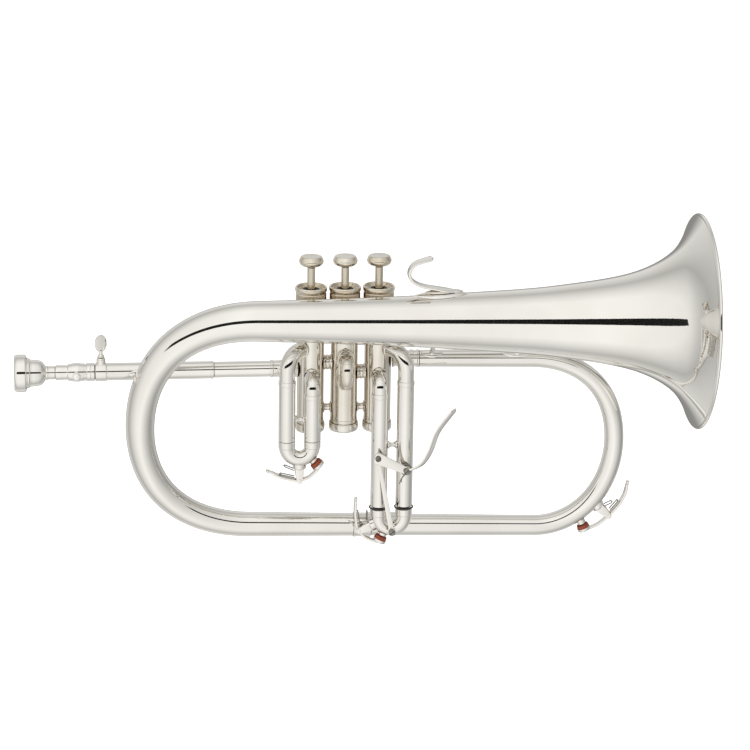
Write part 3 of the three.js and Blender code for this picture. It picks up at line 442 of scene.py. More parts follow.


# The caps and valves take a wider painted corner shade than the plain silver.
SILVER = metal("silver_plate", (0.95, 0.94, 0.915), (0.9, 0.885, 0.85), (0.015, 0.05))
WARM_SILVER = metal("silver_warm", (0.9, 0.86, 0.77), (0.74, 0.66, 0.52), (0.05, 0.12), corner_shade_reach=0.8)
VALVE_SILVER = metal("silver_valves", (0.92, 0.9, 0.85), (0.82, 0.77, 0.69), (0.03, 0.08), corner_shade_reach=0.72)
SATIN = metal("silver_satin", (0.9, 0.89, 0.86), (0.82, 0.81, 0.78), (0.24, 0.34), scratch=0.08)
MONEL = metal("piston_alloy", (0.8, 0.75, 0.65), (0.62, 0.55, 0.44), (0.14, 0.24), (1, 1, 12), scratch=0.1)
STEEL = metal("spring_steel", (0.4, 0.39, 0.37), (0.2, 0.19, 0.18), (0.2, 0.34), (12, 1, 1), scratch=0.12)
CORK = soft_matter("cork", (0.07, 0.01, 0.005), (0.27, 0.055, 0.022), 1100.0, 0.75, 0.6, 0.0004)
FELT = soft_matter("felt", (0.012, 0.012, 0.013), (0.06, 0.06, 0.062), 2600.0, 0.98, 0.9, 0.0004)
RUBBER = soft_matter("rubber", (0.006, 0.006, 0.006), (0.02, 0.02, 0.02), 3000.0, 0.5, 0.15, 0.0001)

SLOTS = {made: "silver_plate" for made in (SILVER, WARM_SILVER, VALVE_SILVER, SATIN)}
SLOTS.update({MONEL: "monel", STEEL: "steel", CORK: "cork", FELT: "felt", RUBBER: "rubber"})


def make(name, body, material, *parts, replaces=(), sharp=40):
    """One visible piece from closed mesh parts given in millimetres."""
    mesh = bpy.data.meshes.new(name)
    build = bmesh.new()
    for verts, faces in parts:
        made = [build.verts.new(np.asarray(v) * MM) for v in verts]
        for face in faces:
            build.faces.new([made[i] for i in face])
    bmesh.ops.recalc_face_normals(build, faces=build.faces)
    build.to_mesh(mesh)
    build.free()
    mesh.shade_smooth()
    mesh.set_sharp_from_angle(angle=math.radians(sharp))
    mesh.materials.append(material)
    piece = bpy.data.objects.new(name, mesh)
    bpy.context.scene.collection.objects.link(piece)
    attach(piece, body)
    if replaces:
        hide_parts(*replaces)
    return piece


# ------------------------------------------------------------------ the bell loop


def tipped(points):
    """From the loop's own plane to the object."""
    p = np.asarray(points, float)
    c, s = math.cos(LOOP_TILT), math.sin(LOOP_TILT)
    return np.stack([p[..., 0] * c + p[..., 2] * s, p[..., 1], -p[..., 0] * s + p[..., 2] * c], axis=-1)


def tipped_part(part):
    verts, faces = part
    return [tuple(v) for v in tipped(verts)], faces


def bottom_z(x):
    return BOTTOM_Z - x * math.tan(BOTTOM_SLOPE)


def bow_radius(x, z):
    """Radius of the bow that joins the bottom tube to a tube at height z above x."""
    return (z - bottom_z(x)) * math.cos(BOTTOM_SLOPE) / (1 + math.cos(BOTTOM_SLOPE))


LEFT_BOW_R = bow_radius(LEFT_BOW_X, BELL_Z)
RIGHT_BOW_R = bow_radius(LOWER_BOW_X, EXIT_Z)
left_bow = arc((LEFT_BOW_X, BELL_Y / 2, BELL_Z - LEFT_BOW_R), (0, -BELL_Y / 2, -LEFT_BOW_R),
               (-LEFT_BOW_R, 0, 0), BOTTOM_SLOPE, math.pi, 110, BOW_SWELL)
upper_right = arc((RIGHT_BOW_X, 0, EXIT_Z - RIGHT_BOW_R), (0, 0, RIGHT_BOW_R), (RIGHT_BOW_R, 0, 0),
                  0, math.pi / 2, 55, BOW_SWELL)
lower_reach = RIGHT_BOW_X + RIGHT_BOW_R - LOWER_BOW_X
lower_end = math.pi + math.atan(lower_reach / RIGHT_BOW_R * math.tan(BOTTOM_SLOPE))
lower_right = arc((LOWER_BOW_X, 0, EXIT_Z - RIGHT_BOW_R), (0, 0, RIGHT_BOW_R), (lower_reach, 0, 0),
                  math.pi / 2, lower_end, 55, LOWER_BOW_SWELL)
right_bow = chain(upper_right, lower_right)
flare = RIM_X - LEFT_BOW_X
crowd = math.log(1 + flare / FLARE_THROAT)
FLARE_STEPS = 110
flare_u = 1 - FLARE_THROAT * (np.exp(crowd * (1 - np.arange(FLARE_STEPS + 1) / FLARE_STEPS)) - 1) / flare
bell_start = np.array([LEFT_BOW_X, BELL_Y, BELL_Z])
bell_points = chain(
    straight((TAIL_X, 0, bottom_z(TAIL_X)), left_bow[0], 10),
    left_bow,
    bell_start + flare_u[:, None] * np.array([flare, 0, 0]),
)
BEAD = 1.15
bell_s = distances(bell_points)
BELL_LENGTH = bell_s[-1]


def fullness(distance):
    """How much wider the horn is than the flare law, eased between the listed distances from the rim."""
    d, f = np.array(FULLNESS, float).T
    k = np.clip(np.searchsorted(d, distance), 1, len(d) - 1)
    t = np.clip((distance - d[k - 1]) / (d[k] - d[k - 1]), 0, 1)
    return f[k - 1] + (f[k] - f[k - 1]) * t * t * (3 - 2 * t)


def horn_radius(s):
    from_rim = np.maximum(BELL_LENGTH - s, 0)
    return (RIM_R - BEAD) * (FLARE_THROAT / (FLARE_THROAT + from_rim)) ** FLARE_POWER * fullness(from_rim)


def bell_radius_at(x):
    return horn_radius(BELL_LENGTH - (RIM_X - x))


def bell():
    """Outer sheet, rolled bead and inner sheet as one closed skin."""
    keep = bell_s < BELL_LENGTH - 0.25
    keep[-1] = False
    outer_p, outer_r = bell_points[keep], horn_radius(bell_s[keep])
    slope = FLARE_POWER * horn_radius(bell_s) / (FLARE_THROAT + BELL_LENGTH - bell_s)
    inner_r = horn_radius(bell_s) - 0.6 * np.hypot(1, slope)
    end = bell_points[-1]
    a = np.radians(np.linspace(-115, 190, 22))
    bead_r, bead_x = RIM_R - BEAD + BEAD * np.cos(a), 1.0 + BEAD * np.sin(a)
    parts = [
        sweep_rings(outer_p, outer_r, Y, 160),
        np.array([sweep_rings([end, end + X], [r, r], Y, 160)[0] + X * x for r, x in zip(bead_r, bead_x)]),
        sweep_rings(bell_points, inner_r, Y, 160)[::-1],
    ]
    return tipped_part(loft(np.concatenate(parts), closed=True))


main_end = TAIL_X + FERRULE + 0.3
main_points = chain(
    straight((EXIT_END_X + 0.3, 0, EXIT_Z), (RIGHT_BOW_X, 0, EXIT_Z), 16),
    right_bow,
    straight(right_bow[-1], (main_end, 0, bottom_z(main_end)), 20),
)
main_s = distances(main_points)


def main_radius(s):
    return np.interp(s, [0, main_s[-1]], MAIN_BOW_R)


# ------------------------------------------------------------------ water keys
# Drawn in each key's own axes: across runs from its pin towards the cork, and out points away from the tube.
KEY_WIDTH = 4.4
CORK_HEIGHT = 3.4
SLIDE_KEY = {
    "arm": [(-22.6, -7.2), (-18, -5), (-13.2, -2.8), (-8, -1.2), (-2.6, 0), (0, 0), (5.8, -1.6), (9.2, -4),
            (12.4, -7.2)],
    "widths": [3.4, 5.2, 5.4, 4.8, 4.4, 4.3, 4.2, 4.4, 4.8],
    "cork": (12, -12.2), "lift": 43, "bow_leg": [(-10.4, -10.8), (-4, -8)],
             "lever_leg": [(-13.3, -4.9), (-3.6, -2.5)],
    "rise": 10.5, "post": 3.3, "tube": BOW_R,
}
MAIN_KEY = {
    "arm": [(-27.3, -7.4), (-21, -3.3), (-16.2, -1.5), (-12.1, -0.4), (-6.6, 0.1), (0, 0.2), (6.9, -0.4),
            (11.9, -1.5), (16.2, -3.6)],
    "widths": [3.4, 5.6, 5.6, 5.0, 4.6, 4.3, 4.2, 4.3, 4.8],
    "cork": (18.4, -8.1), "lift": -24, "bow_leg": [(-8.7, -5.6), (-3.8, -7.6)],
            "lever_leg": [(-12.2, -2.9), (-3.8, -2.4)],
    "rise": 11.6, "post": 3.5, "tube": 6.8,
}


def key_geometry(joint, shape, out_angle, side, y):
    """Everything about one key in its own plane, from its pin in the frame."""
    out = np.array([math.cos(out_angle), math.sin(out_angle)])
    across = np.array([-side * out[1], side * out[0]])
    lift = out_angle + math.radians(shape["lift"])
    k = dict(shape, pin=pivot(joint)[[0, 2]], out=out, across=across,
             seat=np.array([math.cos(lift), math.sin(lift)]), y=y)
    k["pad"] = key_point(k, *shape["cork"]) - k["seat"] * CORK_HEIGHT / 2
    return k


def key_point(k, u, n):
    return k["pin"] + k["across"] * u + k["out"] * n


def flat3(p, y):
    return np.array([p[0], y, p[1]])


def saddle(k):
    """A soldered post that splits into two pierced ears, the pin with its head, and the drain nipple."""
    y, pin, out, rise, post = k["y"], k["pin"], k["out"], k["rise"], k["post"]
    parts = []
    ear_y = KEY_WIDTH / 2 + 0.3 + 0.55
    for way in (-1, 1):
        ear = hull_outline((pin, 2.0), (key_point(k, 1.5, -6), 1.5), (key_point(k, -1.5, -6), 1.5),
                           (key_point(k, 1.5, -rise), 1.5), (key_point(k, -1.5, -rise), 1.5))
        parts.append(plate(ear, 1.1, y + way * ear_y, 0.25))
    block = [(0.01, -2), (post + 1.4, -2), (post + 1.4, 1.3), (post + 0.5, 2.0), (post, 2.8),
             (post, rise - 5.2), (post - 0.5, rise - 4.6), (0.01, rise - 4.6)]
    base = pin - out * rise
    parts.append(turned(block, flat3(base, y), flat3(out, 0), SMALL, 0.4))
    parts.append(turned([(0.01, -3.4), (0.8, -3.4), (0.8, 3.35), (1.45, 3.35), (1.45, 4.2), (0.01, 4.2)],
                        flat3(pin, y), -Y, 24, 0.2))
    nipple = [(0.01, -4), (3.1, -4), (3.1, -0.9), (2.9, -0.35), (1.6, -0.35), (1.6, -1.6), (0.01, -1.6)]
    parts.append(turned(nipple, flat3(k["pad"], y), flat3(k["seat"], 0), SMALL, 0.2))
    return parts


def lever(k):
    """Finger spoon with a bead at its tip, hub round the pin, cranked arm and cork cup."""
    y, pin, seat = k["y"], k["pin"], k["seat"]
    cup = k["pad"] + seat * (CORK_HEIGHT + 0.3)
    arm = [key_point(k, u, n) for u, n in k["arm"]] + [cup + seat * 0.9]
    parts = [strap(arm, y, 2.0, k["widths"])]
    bead = [(0.01, -2.2), (0.8, -2.0), (1.15, -1.2), (1.2, 0), (1.15, 1.2), (0.8, 2.0), (0.01, 2.2)]
    parts.append(turned(bead, flat3(arm[0], y), Y, SMALL, 0.3))
    parts.append(turned([(0.01, -2.2), (2.1, -2.2), (2.1, 2.2), (0.01, 2.2)], flat3(pin, y), Y, SMALL, 0.3))
    rim = [(0.01, 1.6), (3.4, 1.6), (4.4, 1.3), (4.75, 0.7), (4.75, -1.0), (4.5, -1.1), (4.45, 0.1),
           (0.01, 0.1)]
    parts.append(turned(rim, flat3(cup, y), flat3(seat, 0), SMALL, 0.2))
    return parts


def cork(k):
    pad = [(0.01, 0), (3.9, 0), (4.3, 0.5), (4.4, 1.7), (4.3, 3.4), (0.01, 3.5)]
    return turned(pad, flat3(k["pad"] + k["seat"] * 0.1, k["y"]), flat3(k["seat"], 0), SMALL, 0.25)


def hairpin(k, leg, reach, side):
    """A flat loop of spring wire with its closed end away from the pin."""
    (far_u, far_n), (near_u, near_n) = leg
    slope = (far_n - near_n) / (far_u - near_u)
    loop = [(near_u, near_n, side), (far_u + 0.8, far_n + 0.8 * slope, side), (far_u, far_n, side * 0.72),
            (far_u - reach, far_n - reach * slope, 0), (far_u, far_n, -side * 0.72),
            (far_u + 0.8, far_n + 0.8 * slope, -side), (near_u, near_n, -side)]
    return wire(smooth_curve([flat3(key_point(k, u, n), k["y"] + dy) for u, n, dy in loop]), 0.4)


KEYS = {
    "first": key_geometry("first_key_open", SLIDE_KEY, math.radians(-90), 1, LEG_Y),
    "third": key_geometry("third_key_open", SLIDE_KEY, math.radians(-157), 1, LEG_Y),
    "main": key_geometry("main_key_open", MAIN_KEY, math.radians(-42.9), -1, 0),
}
KEY_BODY = {"first": ("first_slide", "first_key"), "third": ("third_slide", "third_key"),
            "main": ("horn", "main_key")}
for name, k in KEYS.items():
    owner, moving = KEY_BODY[name]
    make(f"{name}_water_key", moving, SILVER, *lever(k), replaces=[f"{name}_key_lever"])
    make(f"{name}_water_key_cork", moving, CORK, cork(k), replaces=[f"{name}_key_cork"])
    make(f"{name}_water_key_spring", owner, STEEL, hairpin(k, k["bow_leg"], 0.6, 2.3),
         replaces=[f"{name}_key_spring"])
    make(f"{name}_water_key_spring_lever_leg", moving, STEEL, hairpin(k, k["lever_leg"], 0.6, 1.9))

half_leg = LEG_SPACING / 2

# ------------------------------------------------------------------ bell, main bow, exit tube
make("bell_silver", "horn", SILVER, bell(), replaces=["bell"], sharp=60)
make("main_bow_silver", "horn", SILVER, tipped_part(tube(main_points, main_radius(main_s), Y, SIDES)),
     *saddle(KEYS["main"]), replaces=["main_bow"])
tail = [(7.95, 0.3), (8.6, 0.3), (8.85, 0.7), (8.85, 2.2), (8.5, 2.6), (8.5, 10.4), (8.8, 10.8),
        (8.8, 12.4), (8.5, 13.0), (7.95, 13.0)]
make("bell_tail_ferrule_silver", "horn", SILVER,
     tipped_part(turned(tail, (TAIL_X, 0, bottom_z(TAIL_X)),
                        (math.cos(BOTTOM_SLOPE), 0, -math.sin(BOTTOM_SLOPE)), SIDES, 0.2, closed=True)),
     replaces=["bell_tail_ferrule"])
exit_start = VALVE_X[2] + CASING_R + 0.1
exit_profile = [(4.9, exit_start), (6.4, exit_start), (6.2, exit_start + 0.7), (5.7, exit_start + 1.2),
                (5.7, 45.6), (6.3, 45.9), (6.3, 47.4), (5.9, 47.8), (5.9, 50.4), (6.3, 50.8), (6.3, 51.8),
                (4.9, EXIT_END_X)]
make("exit_tube_silver", "horn", SILVER,
     tipped_part(turned(exit_profile, (0, 0, EXIT_Z), X, SIDES, 0.2, closed=True)), replaces=["exit_tube"])

# ------------------------------------------------------------------ leadpipe and mouthpiece
on_lead = dict(at=(0, 0, LEAD_Z), axis=X)


def lead(profile, soft=0.25, **more):
    """A closed lathe shape on the leadpipe's axis, from (x, radius) pairs."""
    return turned([(r, x) for x, r in profile], soft=soft, closed=True, **on_lead, **more)


make("leadpipe_silver", "horn", SILVER,
     lead([(-102, 4.6), (-102, 5.1), (-91.9, 5.1), (-91.9, 5.6), (-52.4, 5.6), (-52.2, 6.15), (-50.8, 6.15),
           (-50.4, 5.85), (-46, 5.85), (-45.6, 6.15), (-43.8, 6.15), (-43.4, 5.6), (-35.2, 5.6),
           (-34.7, 6.0), (-33.9, 6.4), (-33.2, 6.4), (-33.2, 4.6)]), replaces=["leadpipe"])
clamp_x = middle("wing_screw")[0]
sleeve = [(-175.3, 5.5), (-175.3, 6.3), (-174.7, 6.55), (-168.1, 6.55), (-167.5, 6.3), (-167.3, 6.1),
          (-94.6, 6.1), (-94.4, 6.3), (-92.5, 6.3), (-92.3, 5.5)]
boss = [(0.01, 5.6), (3.1, 5.6), (3.1, 9.4), (2.6, 10.4), (1.5, 10.4), (1.5, 8.5), (0.01, 8.5)]
make("leadpipe_sleeve_silver", "horn", SILVER, lead(sleeve),
     turned(boss, (clamp_x, 0, LEAD_Z), Z, SMALL, 0.3), replaces=["leadpipe_sleeve"])
wing_z = LEAD_Z + 20.7
wing = np.stack([clamp_x + 4.4 * np.cos(np.linspace(0, 2 * np.pi, 48, endpoint=False)),
                 wing_z + 6.4 * np.sin(np.linspace(0, 2 * np.pi, 48, endpoint=False))], axis=1)
shank = [(0.01, 6.1), (1.2, 6.1), (1.2, 10.7), (2.3, 10.8), (2.5, 11.4), (2.3, 12.0), (1.3, 12.9),
         (1.2, 15.5), (0.9, 16.5), (0.01, 16.6)]
wing_verts, wing_faces = plate(wing, 1.7, 0, 0.6)
WING_TURN = math.radians(18)
c, s = math.cos(WING_TURN), math.sin(WING_TURN)
wing_verts = [(clamp_x + (vx - clamp_x) * c - vy * s, (vx - clamp_x) * s + vy * c, vz) for vx, vy,
              vz in wing_verts]
make("wing_screw_silver", "wing_screw", SILVER, (wing_verts, wing_faces),
     turned(shank, (clamp_x, 0, LEAD_Z), Z, SMALL, 0.25), replaces=["wing_screw"])
receiver = [(-203, 4.75), (-203, 5.1), (-202.4, 5.3), (-199, 5.25), (-195, 5.05), (-194.4, 5.7),
            (-191.8, 6.25), (-187.6, 6.7), (-184, 6.2), (-182.2, 5.9), (-181.6, 5.85), (-181.2, 6.3),
            (-179.0, 6.4), (-178.6, 6.1), (-178.2, 6.4), (-176.0, 6.4), (-175.7, 5.15), (-134, 5.15),
            (-134, 4.6), (-176, 4.6), (-176, 4.75)]
lyre_x = middle("lyre_screw")[0]
lyre_boss = [(0.01, 5.4), (2.4, 5.4), (2.4, 7.7), (2.1, 8.0), (1.3, 8.0), (1.3, 6.5), (0.01, 6.5)]
make("tuning_leadpipe_silver", "tuning_slide", SILVER, lead(receiver),
     turned(lyre_boss, (lyre_x, 0, LEAD_Z), -Y, SMALL, 0.2), replaces=["tuning_leadpipe"])
lyre = [(0.01, 5.9), (1.0, 5.9), (1.0, 8.3), (2.6, 8.3), (2.9, 8.6), (2.9, 9.3), (2.9, 10.0), (2.9, 10.6),
        (2.2, 11.2), (0.01, 11.6)]
make("lyre_screw_silver", "lyre_screw", SILVER,
     turned(lyre, (lyre_x, 0, LEAD_Z), -Y, 120, 0.15, knurl=(8.5, 10.8, 20, 0.35, 2.5)),
     replaces=["lyre_screw"])
mouth = [(-229.8, 8.6), (-231.3, 9.2), (-231.9, 10.2), (-231.9, 11.2), (-231.2, 12.4), (-229.8, 13.05),
         (-224.4, 13.1), (-223.7, 12.7), (-223.3, 11.3), (-222.6, 10.3), (-222.2, 10.5), (-221.5, 10.5),
         (-221.1, 9.7), (-219.6, 9.4), (-217, 9.25), (-214.6, 8.9), (-213, 8.35), (-211.6, 7.1),
         (-210.6, 5.6), (-209.9, 4.75), (-209.3, 5.0), (-208.6, 5.0), (-208.2, 4.7), (-203.8, 4.7),
         (-203.2, 4.35), (-178, 4.05), (-178, 3.4), (-209, 2.2), (-214.5, 3.4), (-219, 6.6), (-227, 8.2)]
make("mouthpiece_silver", "mouthpiece", SILVER, lead(mouth, soft=0.5), replaces=["mouthpiece"])

# ------------------------------------------------------------------ valves
SECOND_PORTS_Z = (56.6, 38.8)
BRIDGE_Z = (50.5, 43.3)
SPOOL_Z = 17.3
UPPER_PORT_Z, LOWER_PORT_Z = 62.0, 43.0


def spool(half, post=1.9, foot=3.3, squeeze=1.0):
    """A short brace: two round feet and a waisted post, along X about its middle."""
    edge, neck, start = (half - d * squeeze for d in (1.0, 1.5, 2.2))
    return [(0.01, -half), (foot, -half), (foot, -edge), (foot * 0.75, -neck), (post, -start),
            (post * 0.92, 0), (post, start), (foot * 0.75, neck), (foot, edge), (foot, half), (0.01, half)]


for i, x in enumerate(VALVE_X, start=1):
    at = (x, 0, 0)
    casing = [(CASING_BORE_R, 3.1), (CASING_R, 3.1), (CASING_R, 7.6), (9.6, 7.9), (9.6, 8.8),
              (CASING_R, 9.1), (CASING_R, 91), (9.7, 91.4), (9.7, 93.2), (CASING_R, 93.6), (CASING_R, 99.5),
              (CASING_BORE_R, 99.5)]
    shell = turned(casing, at, Z, SIDES, 0.2, closed=True)
    extras = []
    if i == 2:
        for z in SECOND_PORTS_Z:
            stub = [(4.95, 8.9), (6.3, 8.9), (6.1, 9.9), (5.5, 10.4), (5.5, 10.8), (5.9, 11.0), (5.9, 12.2),
                    (5.6, 12.5), (4.95, 12.5)]
            extras.append(turned(stub, (x, 0, z), -Y, SIDES, 0.15, closed=True))
        for way in (-1, 1):
            half = PITCH / 2 - CASING_R + 0.2
            extras.append(turned(spool(half, 2.6, 4.0, 0.5), (x + way * PITCH / 2, 0, SPOOL_Z), X, SMALL,
                                 0.2))
    make(f"valve_casing_{i}_silver", "horn", VALVE_SILVER, shell, *extras, replaces=[f"valve_casing_{i}"])
    cap = [(9.75, 95), (10.5, 95.0), (10.5, 95.6), (10.75, 95.9), (10.75, 101.5), (10.45, 101.9),
           (10.45, 102.5), (11.1, 103.3), (11.2, 104.2), (11.1, 105.6), (10.6, CAP_TOP), (10.1, CAP_TOP),
           (9.5, 105.7), (9.1, 104.6), (8.4, 104.1), (8.1, 103.5), (7.3, 103.3), (6.9, 102.7), (6.3, 102.4),
           (3.4, 102.1), (3.4, 99.8), (9.75, 99.8)]
    make(f"top_cap_{i}_silver", "horn", WARM_SILVER,
         turned(cap, at, Z, 384, 0.2, closed=True, knurl=(95.8, 101.6, 64, 0.34, 10.7)),
         replaces=[f"top_cap_{i}"])
    foot_cap = [(0.01, 0), (8.4, 0), (9.6, 0.4), (10.2, 1.3), (10.4, 2.6), (10.4, 5.3), (10.15, 5.6),
                (10.15, 5.9), (10.4, 6.1), (10.3, 6.4), (9.75, 6.4), (9.75, 2.8), (0.01, 2.8)]
    make(f"bottom_cap_{i}_silver", "horn", VALVE_SILVER, turned(foot_cap, at, Z, SIDES, 0.4),
         replaces=[f"bottom_cap_{i}"])
    pad = [(3.25, 102.8), (5.7, 102.8), (5.9, 103.4), (5.8, 104.4), (5.2, 104.6), (3.6, 104.6)]
    make(f"felt_washer_{i}_soft", "horn", FELT, turned(pad, at, Z, SIDES, 0.3, closed=True),
         replaces=[f"felt_washer_{i}"])
    stem_top = BUTTON_TOP - 7.8 - 0.3
    rod = [(0.01, 95.5), (7.6, 95.5), (7.6, 36), (8.45, 36), (8.45, 97.2), (8.1, 97.5), (2.75, 97.5),
           (2.75, stem_top), (1.6, stem_top), (1.6, 123), (0.01, 123)]
    make(f"piston_{i}_metal", f"valve_{i}", MONEL, turned(rod, at, Z, SIDES, 0.2), replaces=[f"piston_{i}"])
    top = BUTTON_TOP
    knob = [(0.01, top - 4.7), (1.9, top - 4.7), (1.9, top - 7.8), (3.3, top - 7.8), (3.5, top - 7.5),
            (4.1, top - 7.2), (6.2, top - 6.7), (7.6, top - 5.8), (8.0, top - 5.2), (8.5, top - 4.2),
            (8.6, top - 3.1), (8.3, top - 2.3), (7.5, top - 0.5), (7.0, top - 0.05), (6.5, top - 0.1),
            (0.01, top - 0.1)]
    make(f"finger_button_{i}_silver", f"valve_{i}", WARM_SILVER, turned(knob, at, Z, SIDES, 0.5),
         replaces=[f"finger_button_{i}"])
    inlay = [(0.01, top - 0.4), (6.35, top - 0.4), (6.35, top - 0.12), (6.1, top - 0.02), (0.01, top)]
    make(f"finger_button_{i}_inlay", f"valve_{i}", SATIN, turned(inlay, at, Z, SIDES, 0.1))
    turns, coil_r = 5, 7.4
    a = np.linspace(0, 2 * np.pi * turns, 36 * turns)
    coil_z = np.interp(a, [0, a[-1]], [4.2, 34.9])
    helix = np.stack([x + coil_r * np.cos(a), coil_r * np.sin(a), coil_z], axis=1)
    make(f"valve_spring_{i}_coil", "horn", STEEL, wire(helix, 0.6, Z), replaces=[f"valve_spring_{i}"])

for i in (1, 2):
    x = (VALVE_X[i - 1] + VALVE_X[i]) / 2
    half = PITCH / 2 - CASING_R + 0.5
    knuckle = [(4.2, -half), (5.6, -half), (5.4, -half + 0.9), (4.9, -1.3), (4.9, -0.9), (5.3, -0.7),
               (5.3, 0.7), (4.9, 0.9), (4.9, 1.3), (5.4, half - 0.9), (5.6, half), (4.2, half)]
    make(f"valve_bridge_{i}_{i + 1}_silver", "horn", VALVE_SILVER,
         turned(knuckle, (x, 0, BRIDGE_Z[i - 1]), X, SIDES, 0.15, closed=True),
         replaces=[f"valve_bridge_{i}_{i + 1}"])

# ------------------------------------------------------------------ valve slides
ELBOW_R, CROOK_R = 9.5, 13.0


def ring(points, s, half, radius, across):
    """A raised band round a tube at distance s along it."""
    along = distances(points)
    spots = np.array([np.interp(np.array([s - half, s + half]), along, points[:, c]) for c in range(3)]).T
    axis = spots[1] - spots[0]
    band = [(radius - 1.2, 0), (radius - 0.25, 0), (radius, 0.3), (radius, 2 * half - 0.3),
            (radius - 0.25, 2 * half), (radius - 1.2, 2 * half)]
    return turned(band, spots[0], axis, SIDES, 0.15, closed=True)


def legs(i, side, leg_end, elbow_line, crook_line, brace_z):
    """The fixed side of slide 1 or 3: outer sleeves, elbow, crook, ferrule bands and the brace."""
    near, far = VALVE_X[i - 1], VALVE_X[i - 1] + side * LEG_SPACING
    thin = LEG_R - 0.3
    wall_y = -CASING_R + 0.1
    elbow = chain(
        straight((near, wall_y + 0.6, LOWER_PORT_Z), (near, LEG_Y + ELBOW_R, LOWER_PORT_Z), 3),
        arc((near, LEG_Y + ELBOW_R, LOWER_PORT_Z - ELBOW_R), (0, 0, ELBOW_R), (0, -ELBOW_R, 0), 0,
            math.pi / 2, 24),
        straight((near, LEG_Y, LOWER_PORT_Z - ELBOW_R), (near, LEG_Y, elbow_line), 2),
    )
    inward = unit([near - far, -LEG_Y, 0])
    crook_centre = np.array([far, LEG_Y, UPPER_PORT_Z - CROOK_R]) + inward * CROOK_R
    crook_end = np.array([near, 0, UPPER_PORT_Z]) + inward * wall_y
    crook = chain(
        straight((far, LEG_Y, crook_line), (far, LEG_Y, UPPER_PORT_Z - CROOK_R), 2),
        arc(crook_centre, -inward * CROOK_R, (0, 0, CROOK_R), 0, math.pi / 2, 30),
        straight(crook_centre + Z * CROOK_R, crook_end, 4),
    )
    across = np.cross(inward, Z)
    parts = [tube(elbow, thin, X, SIDES), tube(crook, thin, across, SIDES)]
    for x, line in ((near, elbow_line), (far, crook_line)):
        sleeve_profile = [(INNER_R + 0.3, leg_end), (LEG_R - 0.1, leg_end), (LEG_R, leg_end + 0.4),
                          (LEG_R, line - 3.4), (LEG_R + 0.2, line - 3.1), (LEG_R + 0.2, line - 0.3),
                          (LEG_R - 0.1, line), (INNER_R + 0.3, line)]
        parts.append(turned(sleeve_profile, (x, LEG_Y, 0), Z, SIDES, 0.15, closed=True))
    gap = LEG_SPACING / 2 - LEG_R + 0.25
    parts.append(turned(spool(gap, 1.6, 2.8), ((near + far) / 2, LEG_Y, brace_z), X, SMALL, 0.3))
    # a solder collar where the crook meets the casing
    parts.append(ring(crook, distances(crook)[-1] - 0.9, 0.8, thin + 0.4, across))
    return parts


def bow(i, side, top, centre_z, inner_top, key):
    """The moving side: bow, ferrules, inner legs and the water key's saddle."""
    near, far = VALVE_X[i - 1], VALVE_X[i - 1] + side * LEG_SPACING
    mid = (near + far) / 2
    ferrule = 5.2
    points = chain(
        straight((mid - half_leg, LEG_Y, top - 1), (mid - half_leg, LEG_Y, centre_z), 3),
        arc((mid, LEG_Y, centre_z), (-half_leg, 0, 0), (0, 0, -half_leg), 0, math.pi, 56),
        straight((mid + half_leg, LEG_Y, centre_z), (mid + half_leg, LEG_Y, top - 1), 3),
    )
    parts = [tube(points, BOW_R - 0.1, Y, SIDES)]
    for x in (near, far):
        parts.append(turned([(0.01, inner_top - 0.4), (4.5, inner_top - 0.4), (INNER_R, inner_top - 0.8),
                             (INNER_R, top - 2), (0.01, top - 2)], (x, LEG_Y, 0), Z, SIDES, 0.1))
        end = top - ferrule
        band = [(INNER_R - 0.4, top), (BOW_R + 0.15, top), (BOW_R + 0.3, top - 0.4),
                (BOW_R + 0.3, end + 0.5), (BOW_R, end), (INNER_R - 0.4, end)]
        parts.append(turned(band, (x, LEG_Y, 0), Z, SIDES, 0.15, closed=True))
    return parts + saddle(key)


make("first_slide_legs", "horn", SILVER, *legs(1, -1, -1.0, 33.1, 43.1, 14.6),
     replaces=["first_slide_tubes"])
make("first_slide_bow_silver", "first_slide", SILVER, *bow(1, -1, -1.3, -5.5, 31, KEYS["first"]),
     replaces=["first_slide_bow"])

second_mid = sum(SECOND_PORTS_Z) / 2
second_half = (SECOND_PORTS_Z[0] - SECOND_PORTS_Z[1]) / 2
second_points = chain(
    straight((0, -12.8, SECOND_PORTS_Z[0]), (0, -13.2, SECOND_PORTS_Z[0]), 1),
    arc((0, -13.2, second_mid), (0, 0, second_half), (0, -second_half, 0), 0, math.pi, 44),
    straight((0, -13.2, SECOND_PORTS_Z[1]), (0, -12.8, SECOND_PORTS_Z[1]), 1),
)
second_parts = [tube(second_points, 5.0, X, SIDES)]
for z in SECOND_PORTS_Z:
    second_parts.append(turned([(0.01, 9.3), (4.6, 9.3), (4.6, 13.2), (0.01, 13.2)], (0, 0, z), -Y, SIDES,
                               0.1))
make("second_slide_bow_silver", "second_slide", VALVE_SILVER, *second_parts, replaces=["second_slide_bow"])

trigger = pivot("trigger_pull")
TRIGGER_Y = trigger[1]
link_top = pivot("trigger_link_swing")[[0, 2]]
pin = trigger[[0, 2]]
link_low = middle("link_screw_lower")[[0, 2]]
post = [(1.4, LEG_R - 0.4), (3.4, LEG_R - 0.4), (3.1, LEG_R + 0.8), (3.1, 8.4), (2.8, 8.8), (1.4, 8.8)]
make("third_slide_legs", "horn", SILVER, *legs(3, 1, -51.2, 32.8, 41.7, -5.7),
     turned(post, (pin[0], LEG_Y, pin[1]), -Y, SMALL, 0.2, closed=True), replaces=["third_slide_tubes"])
stud = [(1.1, 3.8), (2.2, 3.8), (2.2, 7.6), (1.1, 7.6)]
make("third_slide_bow_silver", "third_slide", SILVER, *bow(3, 1, -53.4, -59.5, -14, KEYS["third"]),
     turned(stud, (link_low[0], LEG_Y, link_low[1]), -Y, SMALL, 0.2, closed=True),
     replaces=["third_slide_bow"])
